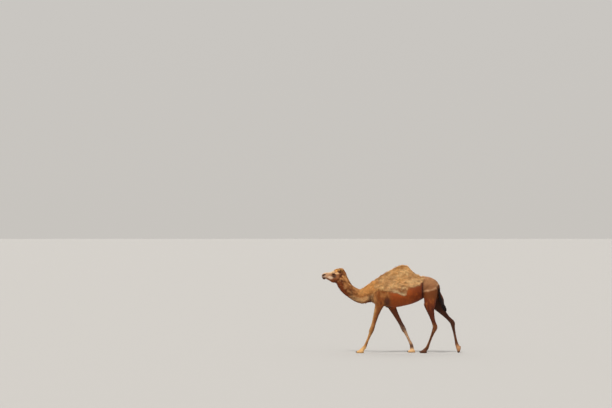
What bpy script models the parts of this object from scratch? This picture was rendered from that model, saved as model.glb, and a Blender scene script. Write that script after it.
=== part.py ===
"""A dromedary camel walking at a pace, life size, as a still model.

The camel faces -X, with +Z up, +Y to its right side and the floor at Z = 0. The flesh is modelled
as swept masses and muscles, fused into one body, and parted by thin cuts where a person would name
the parts. The solids reach to the tips of the coat. All sizes are in metres.
"""

import math

import bmesh
import bpy
from mathutils import Matrix, Vector

# ---------------------------------------------------------------- driving dimensions
HUMP_TOP = 1.945  # floor to the crest of the hump, with its wool
BACK_TOP = 1.705  # floor to the line of the back
GAP = 0.0004  # the width of a cut
FIT_GAP = 0.0009  # a fitted piece stands off this much, so that it is clear at sharp edges too
EYE_RADIUS = 0.021
EYE_PLACE = Vector((-1.284, 0.0680, 1.720))  # the right eye, and the left one mirrored
HOOF_SINK = 0.004  # how far the pads are pressed flat by the floor

# Limb bones: lengths from joint to joint.
FOREARM = 0.575
FORE_SHANK = 0.405
GASKIN = 0.49
HIND_SHANK = 0.478

# Mesh fineness.
RING = 28
SPAN_STEPS = 5
BODY_VOXEL = 0.0125
HEAD_VOXEL = 0.0055
WHOLE_VOXEL = 0.0075
FLESH_TRIANGLES = 4350
TAIL_TRIANGLES = 300
EAR_TRIANGLES = 170

COLOURS = {
    # finish: (linear colour, roughness)
    "wool": ((0.40, 0.22, 0.085), 0.9),
    "short_coat": ((0.30, 0.13, 0.045), 0.75),
    "leg_coat": ((0.33, 0.17, 0.075), 0.75),
    "dark_hair": ((0.03, 0.018, 0.012), 0.8),
    "eye": ((0.012, 0.006, 0.003), 0.08),
    "nail": ((0.05, 0.035, 0.025), 0.45),
    "pad": ((0.10, 0.065, 0.045), 0.7),
}


# ---------------------------------------------------------------- tools
def clear_scene():
    for obj in list(bpy.data.objects):
        bpy.data.objects.remove(obj)


def linked(name, mesh):
    obj = bpy.data.objects.new(name, mesh)
    bpy.context.scene.collection.objects.link(obj)
    return obj


def smooth_curve(points, steps):
    """A Catmull-Rom curve through points, which are lists of numbers, with steps samples a span."""
    out = []
    last = len(points) - 1
    for i in range(last):
        a = points[max(i - 1, 0)]
        b = points[i]
        c = points[i + 1]
        d = points[min(i + 2, last)]
        for k in range(steps):
            t = k / steps
            out.append([
                0.5 * (2 * q + (r - p) * t + (2 * p - 5 * q + 4 * r - s) * t**2
                       + (3 * q - p - 3 * r + s) * t**3)
                for p, q, r, s in zip(a, b, c, d)
            ])
    out.append(list(points[-1]))
    return out


def sweep(stations, squareness=1.0, peak=1.0, dome=0.8, ring=RING, steps=SPAN_STEPS):
    """A closed mass along a line. Each station is (x, y, z, over, under, side): a point of the line,
    the reach to either side of it in the plane of the body, and the half width. The line runs from
    head to tail, where over is up, or downwards, where over is to the rear. squareness below 1 makes
    the section boxier, and peak above 1 makes its over side narrower."""
    line = smooth_curve(stations, steps)
    centres = [Vector(s[:3]) for s in line]
    rings = []
    for i, s in enumerate(line):
        ahead = centres[min(i + 1, len(line) - 1)] - centres[max(i - 1, 0)]
        ahead = ahead.normalized()
        rings.append((centres[i], ahead, s[3], s[4], s[5]))
    first, final = rings[0], rings[-1]
    for angle in (35, 65):
        lean, shrink = math.sin(math.radians(angle)), math.cos(math.radians(angle))
        for end, sign in ((first, -1), (final, 1)):
            reach = dome * min(end[2], end[3], end[4])
            cap = (end[0] + end[1] * sign * reach * lean, end[1], *(v * shrink for v in end[2:]))
            if sign < 0:
                rings.insert(0, cap)
            else:
                rings.append(cap)
    bm = bmesh.new()
    loops = []
    for centre, ahead, over, under, side in rings:
        across = Vector((0, 1, 0))
        up = ahead.cross(across).normalized()
        loop = []
        for k in range(ring):
            angle = math.tau * k / ring
            c, s = math.cos(angle), math.sin(angle)
            power = squareness * (peak if s > 0 else 1.0)
            wide = math.copysign(abs(c) ** power, c)
            high = math.copysign(abs(s) ** squareness, s)
            point = centre + across * side * wide + up * (over if s > 0 else under) * high
            loop.append(bm.verts.new(point))
        loops.append(loop)
    for a, b in zip(loops, loops[1:]):
        for k in range(ring):
            n = (k + 1) % ring
            bm.faces.new((a[k], a[n], b[n], b[k]))
    bm.faces.new(loops[0])
    bm.faces.new(loops[-1])
    bmesh.ops.recalc_face_normals(bm, faces=bm.faces)
    mesh = bpy.data.meshes.new("mass")
    bm.to_mesh(mesh)
    bm.free()
    return mesh


def ellipsoid(centre, radii, pitch=0.0, yaw=0.0, detail=3):
    """A rounded mass. pitch lifts its -X end, and yaw turns it about Z, in degrees."""
    bm = bmesh.new()
    bmesh.ops.create_icosphere(bm, subdivisions=detail, radius=1.0)
    turn = Matrix.Rotation(math.radians(yaw), 4, "Z") @ Matrix.Rotation(math.radians(pitch), 4, "Y")
    bmesh.ops.transform(bm, matrix=Matrix.Translation(centre) @ turn @ Matrix.Diagonal((*radii, 1)),
                        verts=bm.verts)
    mesh = bpy.data.meshes.new("mass")
    bm.to_mesh(mesh)
    bm.free()
    return mesh


def joined(name, meshes):
    """One object that holds all the meshes, still as separate bodies."""
    bm = bmesh.new()
    for mesh in meshes:
        bm.from_mesh(mesh)
    mesh = bpy.data.meshes.new(name)
    bm.to_mesh(mesh)
    bm.free()
    return linked(name, mesh)


def applied(obj):
    """Turns the object's modifiers into its mesh."""
    bpy.context.view_layer.update()
    graph = bpy.context.evaluated_depsgraph_get()
    mesh = bpy.data.meshes.new_from_object(obj.evaluated_get(graph))
    obj.modifiers.clear()
    obj.data = mesh
    return obj


def fused(name, meshes, voxel, smoothing):
    """The meshes melted into one body, with their creases smoothed."""
    obj = joined(name, meshes)
    remesh = obj.modifiers.new("melt", "REMESH")
    remesh.mode = "VOXEL"
    remesh.voxel_size = voxel
    smooth = obj.modifiers.new("soften", "SMOOTH")
    smooth.factor = 0.5
    smooth.iterations = smoothing
    return applied(obj)


def thinned(obj, triangles):
    """Fewer triangles, the smallest where the form bends most."""
    obj.data.calc_loop_triangles()
    decimate = obj.modifiers.new("thin", "DECIMATE")
    decimate.ratio = triangles / len(obj.data.loop_triangles)
    return applied(obj)


def boolean(obj, other, operation):
    cut = obj.modifiers.new(operation.lower(), "BOOLEAN")
    cut.operation = operation
    cut.object = other
    return applied(obj)


def dropped(obj):
    bpy.data.objects.remove(obj)


def grown(obj, by):
    """A copy whose surface stands further out."""
    copy = linked("grown", obj.data.copy())
    swell = copy.modifiers.new("swell", "DISPLACE")
    swell.strength = by
    swell.mid_level = 0.0
    return applied(copy)


def fitted(obj, other):
    """Cuts obj back where it would meet other, and leaves the gap of two touching pieces."""
    cutter = grown(other, FIT_GAP)
    boolean(obj, cutter, "DIFFERENCE")
    dropped(cutter)
    keep_largest(obj)
    return obj


def loose_bodies(bm):
    """The separate bodies of a bmesh, as lists of faces."""
    left = set(bm.faces)
    bodies = []
    while left:
        stack = [left.pop()]
        body = []
        while stack:
            face = stack.pop()
            body.append(face)
            for edge in face.edges:
                for near in edge.link_faces:
                    if near in left:
                        left.discard(near)
                        stack.append(near)
        bodies.append(body)
    return bodies


def keep_largest(obj):
    bm = bmesh.new()
    bm.from_mesh(obj.data)
    bodies = sorted(loose_bodies(bm), key=lambda body: -sum(f.calc_area() for f in body))
    extra = [face for body in bodies[1:] for face in body]
    bmesh.ops.delete(bm, geom=extra, context="FACES")
    bmesh.ops.delete(bm, geom=[v for v in bm.verts if not v.link_faces], context="VERTS")
    bm.to_mesh(obj.data)
    bm.free()


def slab(centre, lean, reach, y_from, y_to, sag=0.0):
    """A cutter one gap thick. Its line through centre (x, z) leans by that many degrees from
    level, rising to the rear, and reaches that far each way. sag bows its middle down."""
    steps = 12 if sag else 1
    along = Vector((math.cos(math.radians(lean)), 0, math.sin(math.radians(lean))))
    off = Vector((-along.z, 0, along.x))
    bm = bmesh.new()
    rows = []
    for i in range(steps + 1):
        t = 2 * i / steps - 1
        base = Vector((centre[0], 0, centre[1])) + along * reach * t - off * sag * (1 - t * t)
        row = [
            bm.verts.new(base + off * side * GAP / 2 + Vector((0, y, 0)))
            for side, y in ((-1, y_from), (1, y_from), (1, y_to), (-1, y_to))
        ]
        rows.append(row)
    for a, b in zip(rows, rows[1:]):
        for k in range(4):
            n = (k + 1) % 4
            bm.faces.new((a[k], a[n], b[n], b[k]))
    bm.faces.new(rows[0])
    bm.faces.new(rows[-1])
    bmesh.ops.recalc_face_normals(bm, faces=bm.faces)
    mesh = bpy.data.meshes.new("slab")
    bm.to_mesh(mesh)
    bm.free()
    return mesh


def flattened(obj, level):
    """Cuts off all below the level and closes the cut, as the floor presses a sole flat."""
    bm = bmesh.new()
    bm.from_mesh(obj.data)
    whole = bm.verts[:] + bm.edges[:] + bm.faces[:]
    cut = bmesh.ops.bisect_plane(
        bm, geom=whole, plane_co=(0, 0, level), plane_no=(0, 0, 1), clear_inner=True)
    rim = [e for e in cut["geom_cut"] if isinstance(e, bmesh.types.BMEdge)]
    bmesh.ops.holes_fill(bm, edges=rim, sides=0)
    for v in bm.verts:
        if abs(v.co.z - level) < 1e-5:
            v.co.z = level
    bmesh.ops.triangulate(bm, faces=bm.faces)
    bmesh.ops.recalc_face_normals(bm, faces=bm.faces)
    bm.to_mesh(obj.data)
    bm.free()
    return obj


# ---------------------------------------------------------------- the pose
class Leg:
    """A leg as joints in the plane of the body, found from bone lengths and swings. A swing is in
    degrees from straight down, positive to the rear."""

    def __init__(self, start, bones, swings, sides, foot, pitch):
        self.joints = [start]
        for length, swing in zip(bones, swings):
            x, z = self.joints[-1]
            turn = math.radians(swing)
            self.joints.append((x + length * math.sin(turn), z - length * math.cos(turn)))
        self.swings = swings
        self.sides = sides  # Y of each joint
        self.foot = Vector(foot)  # centre of the sole
        self.pitch = pitch  # how far the toes point down, in degrees

    def at(self, bone, share):
        """The point that share of the way down a bone, as (x, y, z)."""
        a, b = self.joints[bone], self.joints[bone + 1]
        y = self.sides[bone] * (1 - share) + self.sides[bone + 1] * share
        return (a[0] * (1 - share) + b[0] * share, y, a[1] * (1 - share) + b[1] * share)


LEGS = {
    "fore_left": Leg((-0.287, 1.06), (FOREARM, FORE_SHANK), (-15.5, -23.0),
                     (-0.150, -0.150, -0.152), (-0.690, -0.155, 0), 0),
    "fore_right": Leg((-0.030, 1.035), (FOREARM, FORE_SHANK), (29.0, 25.0),
                      (0.150, 0.150, 0.150), (0.432, 0.150, 0), 0),
    "hind_left": Leg((0.800, 1.035), (GASKIN, HIND_SHANK), (16.0, -21.0),
                     (-0.150, -0.135, -0.135), (0.690, -0.138, 0), 0),
    "hind_right": Leg((0.985, 1.020), (GASKIN, HIND_SHANK), (42.5, 11.5),
                      (0.140, 0.130, 0.128), (1.490, 0.128, 0.076), 78),
}

# Girths down a leg: (bone, share of the way down it, rear reach, front reach, half width).
FORE_GIRTHS = (
    (0, -0.22, 0.125, 0.105, 0.070),
    (0, 0.00, 0.118, 0.085, 0.074),
    (0, 0.16, 0.092, 0.078, 0.068),
    (0, 0.38, 0.068, 0.066, 0.054),
    (0, 0.62, 0.056, 0.056, 0.046),
    (0, 0.84, 0.050, 0.053, 0.047),
    (0, 0.97, 0.053, 0.062, 0.056),
    (1, 0.07, 0.050, 0.060, 0.055),
    (1, 0.22, 0.042, 0.042, 0.042),
    (1, 0.45, 0.036, 0.033, 0.033),
    (1, 0.72, 0.036, 0.031, 0.032),
    (1, 0.90, 0.042, 0.034, 0.039),
    (1, 1.02, 0.044, 0.038, 0.045),
)
HIND_GIRTHS = (
    (0, -0.10, 0.150, 0.108, 0.078),
    (0, 0.06, 0.138, 0.100, 0.074),
    (0, 0.24, 0.098, 0.082, 0.062),
    (0, 0.48, 0.068, 0.062, 0.049),
    (0, 0.72, 0.054, 0.050, 0.041),
    (0, 0.90, 0.062, 0.048, 0.041),
    (0, 1.00, 0.064, 0.052, 0.044),
    (1, 0.10, 0.060, 0.048, 0.043),
    (1, 0.24, 0.046, 0.038, 0.038),
    (1, 0.45, 0.036, 0.032, 0.032),
    (1, 0.72, 0.034, 0.030, 0.031),
    (1, 0.90, 0.039, 0.034, 0.038),
    (1, 1.02, 0.042, 0.037, 0.043),
)


# ---------------------------------------------------------------- trunk, hump and neck
def barrel():
    """Chest, ribs, loin and rump. Rows: x, top, bottom, half width."""
    widest = 0.45  # share of the depth at which the ribs stand out most
    rows = (
        (-0.435, 1.540, 1.150, 0.105),
        (-0.360, 1.622, 1.085, 0.155),
        (-0.250, 1.680, 1.045, 0.190),
        (-0.100, 1.700, 1.002, 0.222),
        (0.060, BACK_TOP, 0.992, 0.255),
        (0.220, BACK_TOP, 1.021, 0.282),
        (0.370, BACK_TOP, 1.060, 0.285),
        (0.500, BACK_TOP, 1.114, 0.262),
        (0.600, BACK_TOP - 0.005, 1.174, 0.226),
        (0.690, 1.692, 1.262, 0.190),
        (0.780, 1.672, 1.300, 0.172),
        (0.880, 1.625, 1.310, 0.148),
        (0.960, 1.560, 1.320, 0.105),
    )
    stations = []
    for x, top, bottom, half in rows:
        middle = bottom + widest * (top - bottom)
        stations.append((x, 0, middle, top - middle, middle - bottom, half))
    return sweep(stations, peak=1.25, dome=0.5)


def hump():
    """A cone of fat on the ribs. Rows: x, top, half width at its root."""
    root = 1.540
    rows = (
        (-0.340, 1.640, 0.100),
        (-0.250, 1.715, 0.135),
        (-0.150, 1.777, 0.158),
        (-0.030, 1.842, 0.178),
        (0.085, 1.902, 0.190),
        (0.190, HUMP_TOP, 0.196),
        (0.280, HUMP_TOP, 0.194),
        (0.360, 1.900, 0.186),
        (0.435, 1.825, 0.172),
        (0.505, 1.755, 0.155),
        (0.600, 1.712, 0.130),
    )
    stations = [(x, 0, root, top - root, 0.10, half) for x, top, half in rows]
    return sweep(stations, peak=1.6, dome=0.5)


# The neck's middle line from the head back to the chest: x, z, reach up, reach down, half width.
NECK_ROWS = (
    (-1.130, 1.665, 0.150, 0.132, 0.083),
    (-1.092, 1.575, 0.150, 0.154, 0.090),
    (-1.030, 1.462, 0.147, 0.153, 0.093),
    (-0.958, 1.378, 0.142, 0.144, 0.094),
    (-0.872, 1.315, 0.142, 0.143, 0.097),
    (-0.775, 1.262, 0.150, 0.152, 0.102),
    (-0.675, 1.238, 0.168, 0.170, 0.108),
    (-0.570, 1.262, 0.178, 0.182, 0.118),
    (-0.465, 1.312, 0.200, 0.212, 0.138),
    (-0.350, 1.352, 0.252, 0.262, 0.160),
)


def neck():
    return sweep([(x, 0, z, up, down, half) for x, z, up, down, half in NECK_ROWS])


def mirrored_pair(centre, radii, pitch=0.0, yaw=0.0):
    """An ellipsoid on each side of the body."""
    x, y, z = centre
    return [ellipsoid((x, s * y, z), radii, pitch, s * yaw) for s in (-1, 1)]


def shoulder(leg, blade_top, point):
    """Shoulder blade and upper arm, down to the elbow."""
    side = math.copysign(1, leg.sides[0])
    elbow = leg.at(0, 0.0)
    return sweep([
        (blade_top[0], side * 0.085, blade_top[1], 0.075, 0.075, 0.045),
        ((blade_top[0] + point[0]) / 2, side * 0.125, (blade_top[1] + point[1]) / 2, 0.105, 0.10, 0.068),
        (point[0], side * 0.142, point[1], 0.125, 0.095, 0.078),
        (elbow[0], side * 0.150, elbow[2], 0.112, 0.088, 0.074),
    ])


def haunch(leg, hip):
    """Thigh muscles from the hip bone to the stifle."""
    side = math.copysign(1, leg.sides[0])
    stifle = leg.at(0, 0.0)
    middle = ((hip[0] + stifle[0]) / 2 + 0.012, (hip[1] + stifle[2]) / 2)
    return sweep([
        (hip[0], side * 0.088, hip[1] + 0.02, 0.135, 0.130, 0.070),
        (hip[0] + 0.01, side * 0.108, hip[1] - 0.10, 0.152, 0.148, 0.088),
        (middle[0], side * 0.122, middle[1], 0.150, 0.145, 0.092),
        (stifle[0] + 0.015, side * 0.140, stifle[2] + 0.09, 0.150, 0.125, 0.088),
        (stifle[0] + 0.010, side * 0.148, stifle[2] - 0.02, 0.140, 0.108, 0.076),
    ])


def limb(leg, girths):
    stations = [(*leg.at(bone, share), rear, front, side) for bone, share, rear, front, side in girths]
    return sweep(stations)


def foot_matrix(leg):
    """From the foot's own axes, toes along -X and sole at z = 0, to its place."""
    return Matrix.Translation(leg.foot) @ Matrix.Rotation(math.radians(-leg.pitch), 4, "Y")


TOE_SPLAY = 0.0375  # from the cleft to the middle of each toe
NAIL_PLACE = Vector((-0.083, 0.041, 0.026))


def foot(leg, size):
    """Broad two-toed foot on its cushion, with the pastern that carries it."""
    masses = []
    sink = -HOOF_SINK
    for side in (-1, 1):
        masses.append(sweep([
            (-0.074, side * 0.041, 0.024, 0.026, 0.030, 0.029),
            (-0.040, side * TOE_SPLAY, 0.030, 0.034, 0.034, 0.037),
            (0.010, side * TOE_SPLAY, 0.034, 0.040, 0.038, 0.041),
            (0.050, side * 0.030, 0.030, 0.036, 0.034, 0.036),
        ], dome=0.75))
    masses.append(ellipsoid((-0.006, 0, 0.013 + sink), (0.085, 0.080, 0.022)))
    for mesh in masses:
        mesh.transform(Matrix.Diagonal((size, size, 1, 1)))
        mesh.transform(foot_matrix(leg))
    fetlock = Vector(leg.at(1, 1.0))
    top = foot_matrix(leg) @ Vector((0.008, 0, 0.040))
    middle = (fetlock + top) / 2
    masses.append(sweep([
        (*fetlock, 0.043, 0.038, 0.044),
        (*middle, 0.045, 0.042, 0.047),
        (*top, 0.048, 0.052, 0.058),
    ]))
    return masses


# ---------------------------------------------------------------- head
def skull():
    """Muzzle, face and braincase. Rows: x, top, bottom, half width, widest share of the depth."""
    rows = (
        (-1.528, 1.722, 1.650, 0.034, 0.50),
        (-1.508, 1.744, 1.632, 0.047, 0.48),
        (-1.470, 1.757, 1.622, 0.055, 0.45),
        (-1.425, 1.762, 1.606, 0.053, 0.45),
        (-1.375, 1.767, 1.579, 0.052, 0.46),
        (-1.325, 1.776, 1.544, 0.060, 0.52),
        (-1.280, 1.792, 1.519, 0.074, 0.59),
        (-1.235, 1.814, 1.509, 0.083, 0.61),
        (-1.185, 1.828, 1.511, 0.084, 0.61),
        (-1.130, 1.826, 1.548, 0.078, 0.61),
        (-1.085, 1.806, 1.600, 0.068, 0.60),
    )
    stations = []
    for x, top, bottom, half, widest in rows:
        middle = bottom + widest * (top - bottom)
        stations.append((x, 0, middle, top - middle, middle - bottom, half))
    return sweep(stations, dome=0.6)


def head_masses():
    masses = [
        skull(),
        ellipsoid((-1.519, 0, 1.668), (0.028, 0.046, 0.034), 12),  # upper lip
        ellipsoid((-1.490, 0, 1.627), (0.037, 0.038, 0.026), -6),  # lower lip
        ellipsoid((-1.150, 0, 1.800), (0.088, 0.052, 0.050), -6),  # tuft on the poll
        ellipsoid((-1.222, 0, 1.798), (0.054, 0.050, 0.037), 10),  # forehead
        ellipsoid((-1.056, 0, 1.740), (0.086, 0.060, 0.052), 55),  # nape
    ]
    masses += mirrored_pair((-1.502, 0.031, 1.712), (0.030, 0.022, 0.026), 25)  # nostrils
    masses += mirrored_pair((-1.462, 0.038, 1.660), (0.046, 0.022, 0.030))  # sides of the lip
    masses += mirrored_pair((-1.268, 0.056, 1.757), (0.056, 0.024, 0.022), 8, 10)  # brow
    masses += mirrored_pair((-1.278, 0.066, 1.690), (0.062, 0.024, 0.022), 12, -6)  # cheek bone
    masses += mirrored_pair((-1.200, 0.058, 1.632), (0.072, 0.034, 0.070), 20)  # jaw muscle
    return masses


def ear(side):
    """A small rounded cup on a short stalk, laid back. It is modelled upright, then turned."""
    blade = sweep([
        (0, 0, 0.050, 0.024, 0.020, 0.024),
        (0, 0, 0.025, 0.024, 0.022, 0.029),
        (0, 0, 0.000, 0.020, 0.020, 0.026),
        (0, 0, -0.040, 0.016, 0.016, 0.018),
    ], dome=1.3)
    obj = fused("ear", [blade], 0.003, 2)
    hollow = linked("hollow", ellipsoid((0, side * 0.020, 0.036), (0.015, 0.024, 0.034)))
    boolean(obj, hollow, "DIFFERENCE")
    dropped(hollow)
    lay_back = Matrix.Rotation(math.radians(42), 4, "Y")
    lean_out = Matrix.Rotation(math.radians(-side * 24), 4, "X")
    obj.data.transform(Matrix.Translation((-1.135, side * 0.072, 1.788)) @ lay_back @ lean_out)
    return thinned(obj, EAR_TRIANGLES)


# ---------------------------------------------------------------- tail, eyes, nails and chest pad
TAIL_LINE = (
    # x, z, reach to the rear, reach to the front, half width
    (0.950, 1.515, 0.050, 0.050, 0.046),
    (1.006, 1.468, 0.038, 0.038, 0.036),
    (1.029, 1.390, 0.027, 0.031, 0.030),
    (1.039, 1.290, 0.025, 0.031, 0.028),
    (1.057, 1.190, 0.030, 0.034, 0.032),
    (1.086, 1.105, 0.038, 0.040, 0.040),
    (1.118, 1.035, 0.046, 0.048, 0.046),
    (1.146, 0.975, 0.050, 0.054, 0.044),
    (1.178, 0.918, 0.030, 0.038, 0.024),
)


def tail():
    stations = [(x, 0, z, rear, front, side) for x, z, rear, front, side in TAIL_LINE]
    return thinned(fused("tail_mass", [sweep(stations)], 0.007, 2), TAIL_TRIANGLES)


def eyeball(side):
    centre = (EYE_PLACE.x, side * EYE_PLACE.y, EYE_PLACE.z)
    obj = linked("eye_" + SIDE_NAMES[side], ellipsoid(centre, (EYE_RADIUS,) * 3, detail=3))
    return obj


def nail(leg, size, side):
    """The horn on the front of a toe."""
    shape = sweep([
        (NAIL_PLACE.x - 0.012, side * NAIL_PLACE.y, NAIL_PLACE.z - 0.006, 0.013, 0.012, 0.013),
        (NAIL_PLACE.x + 0.002, side * NAIL_PLACE.y, NAIL_PLACE.z + 0.002, 0.017, 0.016, 0.018),
        (NAIL_PLACE.x + 0.014, side * NAIL_PLACE.y, NAIL_PLACE.z + 0.008, 0.014, 0.014, 0.016),
    ], dome=0.6, ring=8, steps=1)
    shape.transform(Matrix.Diagonal((size, size, 1, 1)))
    shape.transform(foot_matrix(leg))
    return linked("nail", shape)


SIDE_NAMES = {-1: "left", 1: "right"}
CHEST_PAD = Vector((-0.075, 0, 1.010))


# ---------------------------------------------------------------- the whole body
def flesh():
    """The body as one fused mass, without tail and ears."""
    masses = [barrel(), hump(), neck()]
    masses += [
        shoulder(LEGS["fore_left"], (-0.150, 1.600), (-0.335, 1.255)),
        shoulder(LEGS["fore_right"], (-0.150, 1.600), (-0.235, 1.245)),
        haunch(LEGS["hind_left"], (0.835, 1.470)),
        haunch(LEGS["hind_right"], (0.870, 1.470)),
        ellipsoid((-0.375, 0, 1.190), (0.085, 0.125, 0.125), 0),  # breast
    ]
    masses += mirrored_pair((0.695, 0.098, 1.590), (0.110, 0.066, 0.064), 10, 10)  # hip bone
    masses += mirrored_pair((0.945, 0.062, 1.470), (0.060, 0.045, 0.075))  # seat bone
    masses += [limb(LEGS["fore_" + s], FORE_GIRTHS) for s in ("left", "right")]
    masses += [limb(LEGS["hind_" + s], HIND_GIRTHS) for s in ("left", "right")]
    # The points of the hocks.
    for s in ("left", "right"):
        leg = LEGS["hind_" + s]
        x, y, z = leg.at(0, 0.97)
        masses.append(ellipsoid((x + 0.042, y, z + 0.010), (0.026, 0.026, 0.044), -leg.swings[0] / 2))
    body = fused("body", masses, BODY_VOXEL, 7)
    head = fused("head_mass", head_masses(), HEAD_VOXEL, 3)
    feet = []
    for name, leg in LEGS.items():
        feet += foot(leg, 1.0 if name.startswith("fore") else 0.93)
    feet = fused("feet", feet, 0.0065, 2)
    whole = fused("flesh", [body.data, head.data, feet.data], WHOLE_VOXEL, 1)
    for obj in (body, head, feet):
        dropped(obj)
    return flattened(thinned(whole, FLESH_TRIANGLES), 0.0)


# Where each leg is cut from the trunk: (x, z), lean and reach.
LEG_TOPS = {
    "fore_left": ((-0.300, 0.985), 0, 0.135),
    "fore_right": ((0.010, 0.955), 18, 0.130),
    "hind_left": ((0.832, 1.190), -4, 0.175),
    "hind_right": ((0.958, 1.190), 6, 0.195),
}


def cuts():
    """Every thin cut that parts the flesh."""
    found = [
        slab((-1.135, 1.640), 50, 0.23, -0.3, 0.3),  # head from neck
        slab((-0.405, 1.375), 83, 0.300, -0.3, 0.3),  # neck from trunk
        slab((0.175, 1.715), 1, 0.560, -0.3, 0.3, sag=0.065),  # hump from back
    ]
    for name, leg in LEGS.items():
        side = math.copysign(1, leg.sides[0])
        inner, outer = sorted((side * 0.012, side * 0.32))
        centre, lean, reach = LEG_TOPS[name]
        found.append(slab(centre, lean, reach, inner, outer))
        fore = name.startswith("fore")
        lower = [(1, 0.16), (1, 0.97)] if fore else [(0, 0.22), (1, 0.12), (1, 0.97)]
        for bone, share in lower:
            x, _, z = leg.at(bone, share)
            reach = 0.16 if (bone, share) == (0, 0.22) else 0.085
            found.append(slab((x, z), leg.swings[bone], reach, inner, outer))  # square to the bone
    return found


# Each part of the flesh is known by a point near its middle.
LANDMARKS = {
    "head": (-1.34, 0, 1.68),
    "neck": (-0.80, 0, 1.28),
    "trunk": (0.25, 0, 1.38),
    "hump": (0.20, 0, 1.78),
}
for _side in ("left", "right"):
    LANDMARKS["forearm_" + _side] = LEGS["fore_" + _side].at(0, 0.5)
    LANDMARKS["fore_shank_" + _side] = LEGS["fore_" + _side].at(1, 0.55)
    LANDMARKS["fore_foot_" + _side] = tuple(foot_matrix(LEGS["fore_" + _side]) @ Vector((0.02, 0, 0.05)))
    LANDMARKS["gaskin_" + _side] = LEGS["hind_" + _side].at(0, 0.60)
    LANDMARKS["hind_shank_" + _side] = LEGS["hind_" + _side].at(1, 0.55)
    LANDMARKS["hind_foot_" + _side] = tuple(foot_matrix(LEGS["hind_" + _side]) @ Vector((0.02, 0, 0.05)))
LANDMARKS["thigh_left"] = (0.83, -0.13, 1.08)
LANDMARKS["thigh_right"] = (0.95, 0.13, 1.08)

FINISHES = {
    "head": "short_coat", "neck": "wool", "trunk": "wool", "hump": "wool",
    "forearm": "leg_coat", "fore_shank": "leg_coat", "fore_foot": "leg_coat",
    "thigh": "leg_coat", "gaskin": "leg_coat", "hind_shank": "leg_coat", "hind_foot": "leg_coat",
    "tail": "dark_hair", "tail_tuft": "dark_hair", "ear": "short_coat", "eye": "eye",
    "nail": "nail", "chest_pad": "pad",
}


def parted(obj, cutters, landmarks):
    """Cuts obj, and makes an object of each body, named by the landmark nearest its middle."""
    cutter = joined("cutter", cutters)
    boolean(obj, cutter, "DIFFERENCE")
    dropped(cutter)
    bm = bmesh.new()
    bm.from_mesh(obj.data)
    left = dict(landmarks)
    bodies = sorted(loose_bodies(bm), key=len, reverse=True)[: len(landmarks)]
    named = {}
    pairs = []
    for i, body in enumerate(bodies):
        middle = sum((f.calc_center_median() * f.calc_area() for f in body), Vector())
        middle /= sum(f.calc_area() for f in body)
        pairs += [((middle - Vector(place)).length, i, name) for name, place in left.items()]
    for _, i, name in sorted(pairs):
        if name in left and i not in named.values():
            named[name] = i
            del left[name]
    for name, i in named.items():
        part = bmesh.new()
        verts = {}
        for face in bodies[i]:
            corners = []
            for v in face.verts:
                if v not in verts:
                    verts[v] = part.verts.new(v.co)
                corners.append(verts[v])
            part.faces.new(corners)
        mesh = bpy.data.meshes.new(name)
        part.to_mesh(mesh)
        part.free()
        linked(name, mesh)
    bm.free()
    dropped(obj)


def finish_of(name):
    for key in sorted(FINISHES, key=len, reverse=True):
        if name.startswith(key):
            return FINISHES[key]
    raise ValueError("no finish for " + name)


def painted(obj):
    finish = finish_of(obj.name)
    material = bpy.data.materials.get(finish)
    if material is None:
        colour, roughness = COLOURS[finish]
        material = bpy.data.materials.new(finish)
        material.use_nodes = True
        shader = material.node_tree.nodes["Principled BSDF"]
        shader.inputs["Base Color"].default_value = (*colour, 1)
        shader.inputs["Roughness"].default_value = roughness
        shader.inputs["Metallic"].default_value = 0.0
    obj.data.materials.clear()
    obj.data.materials.append(material)
    obj.data.shade_smooth()
    obj.data.set_sharp_from_angle(angle=math.radians(60))


def centred():
    """Moves everything so that the origin is below the middle of the whole camel."""
    objects = list(bpy.data.objects)
    points = [v.co for obj in objects for v in obj.data.vertices]
    middle = [(min(p[i] for p in points) + max(p[i] for p in points)) / 2 for i in (0, 1)]
    for obj in objects:
        obj.data.transform(Matrix.Translation((-middle[0], -middle[1], 0)))


def main():
    clear_scene()
    body = flesh()
    # Eyes and their sockets.
    for side in (-1, 1):
        ball = eyeball(side)
        socket = grown(ball, FIT_GAP)
        boolean(body, socket, "DIFFERENCE")
        dropped(socket)
    # Nails sit in the toes.
    for leg_name, leg in LEGS.items():
        size = 1.0 if leg_name.startswith("fore") else 0.93
        for side, place in ((-1, "outer"), (1, "inner")):
            obj = nail(leg, size, side)
            if leg.sides[0] > 0:
                place = {"outer": "inner", "inner": "outer"}[place]
            obj.name = "nail_" + leg_name + "_" + place
            flattened(fitted(obj, body), 0.0)
    pad = linked("chest_pad", ellipsoid(CHEST_PAD, (0.078, 0.058, 0.028), 4, detail=2))
    fitted(pad, body)
    for side in (-1, 1):
        obj = ear(side)
        obj.name = "ear_" + SIDE_NAMES[side]
        fitted(obj, body)
    tail_obj = fitted(tail(), body)
    parted(tail_obj, [slab((1.072, 1.140), 18, 0.12, -0.2, 0.2)],
           {"tail": (1.03, 0, 1.33), "tail_tuft": (1.12, 0, 1.03)})
    parted(body, cuts(), LANDMARKS)
    centred()
    for obj in bpy.data.objects:
        painted(obj)


main()
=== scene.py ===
"""The looks of a walking dromedary.

One skin covers the flesh. It has lidded eyes, slit nostrils, a cleft lip and cupped ears, and it lies
under a coat of solid tufts: long matted wool on the hump, shoulders and neck, and short flat hair
elsewhere. Lengths are in metres. The camel faces -X, its left side is -Y and the floor is Z = 0.
"""

import math

import bmesh
import bpy
import numpy as np
from mathutils import Matrix, Vector
from mathutils.bvhtree import BVHTree
from mathutils.kdtree import KDTree


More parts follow.
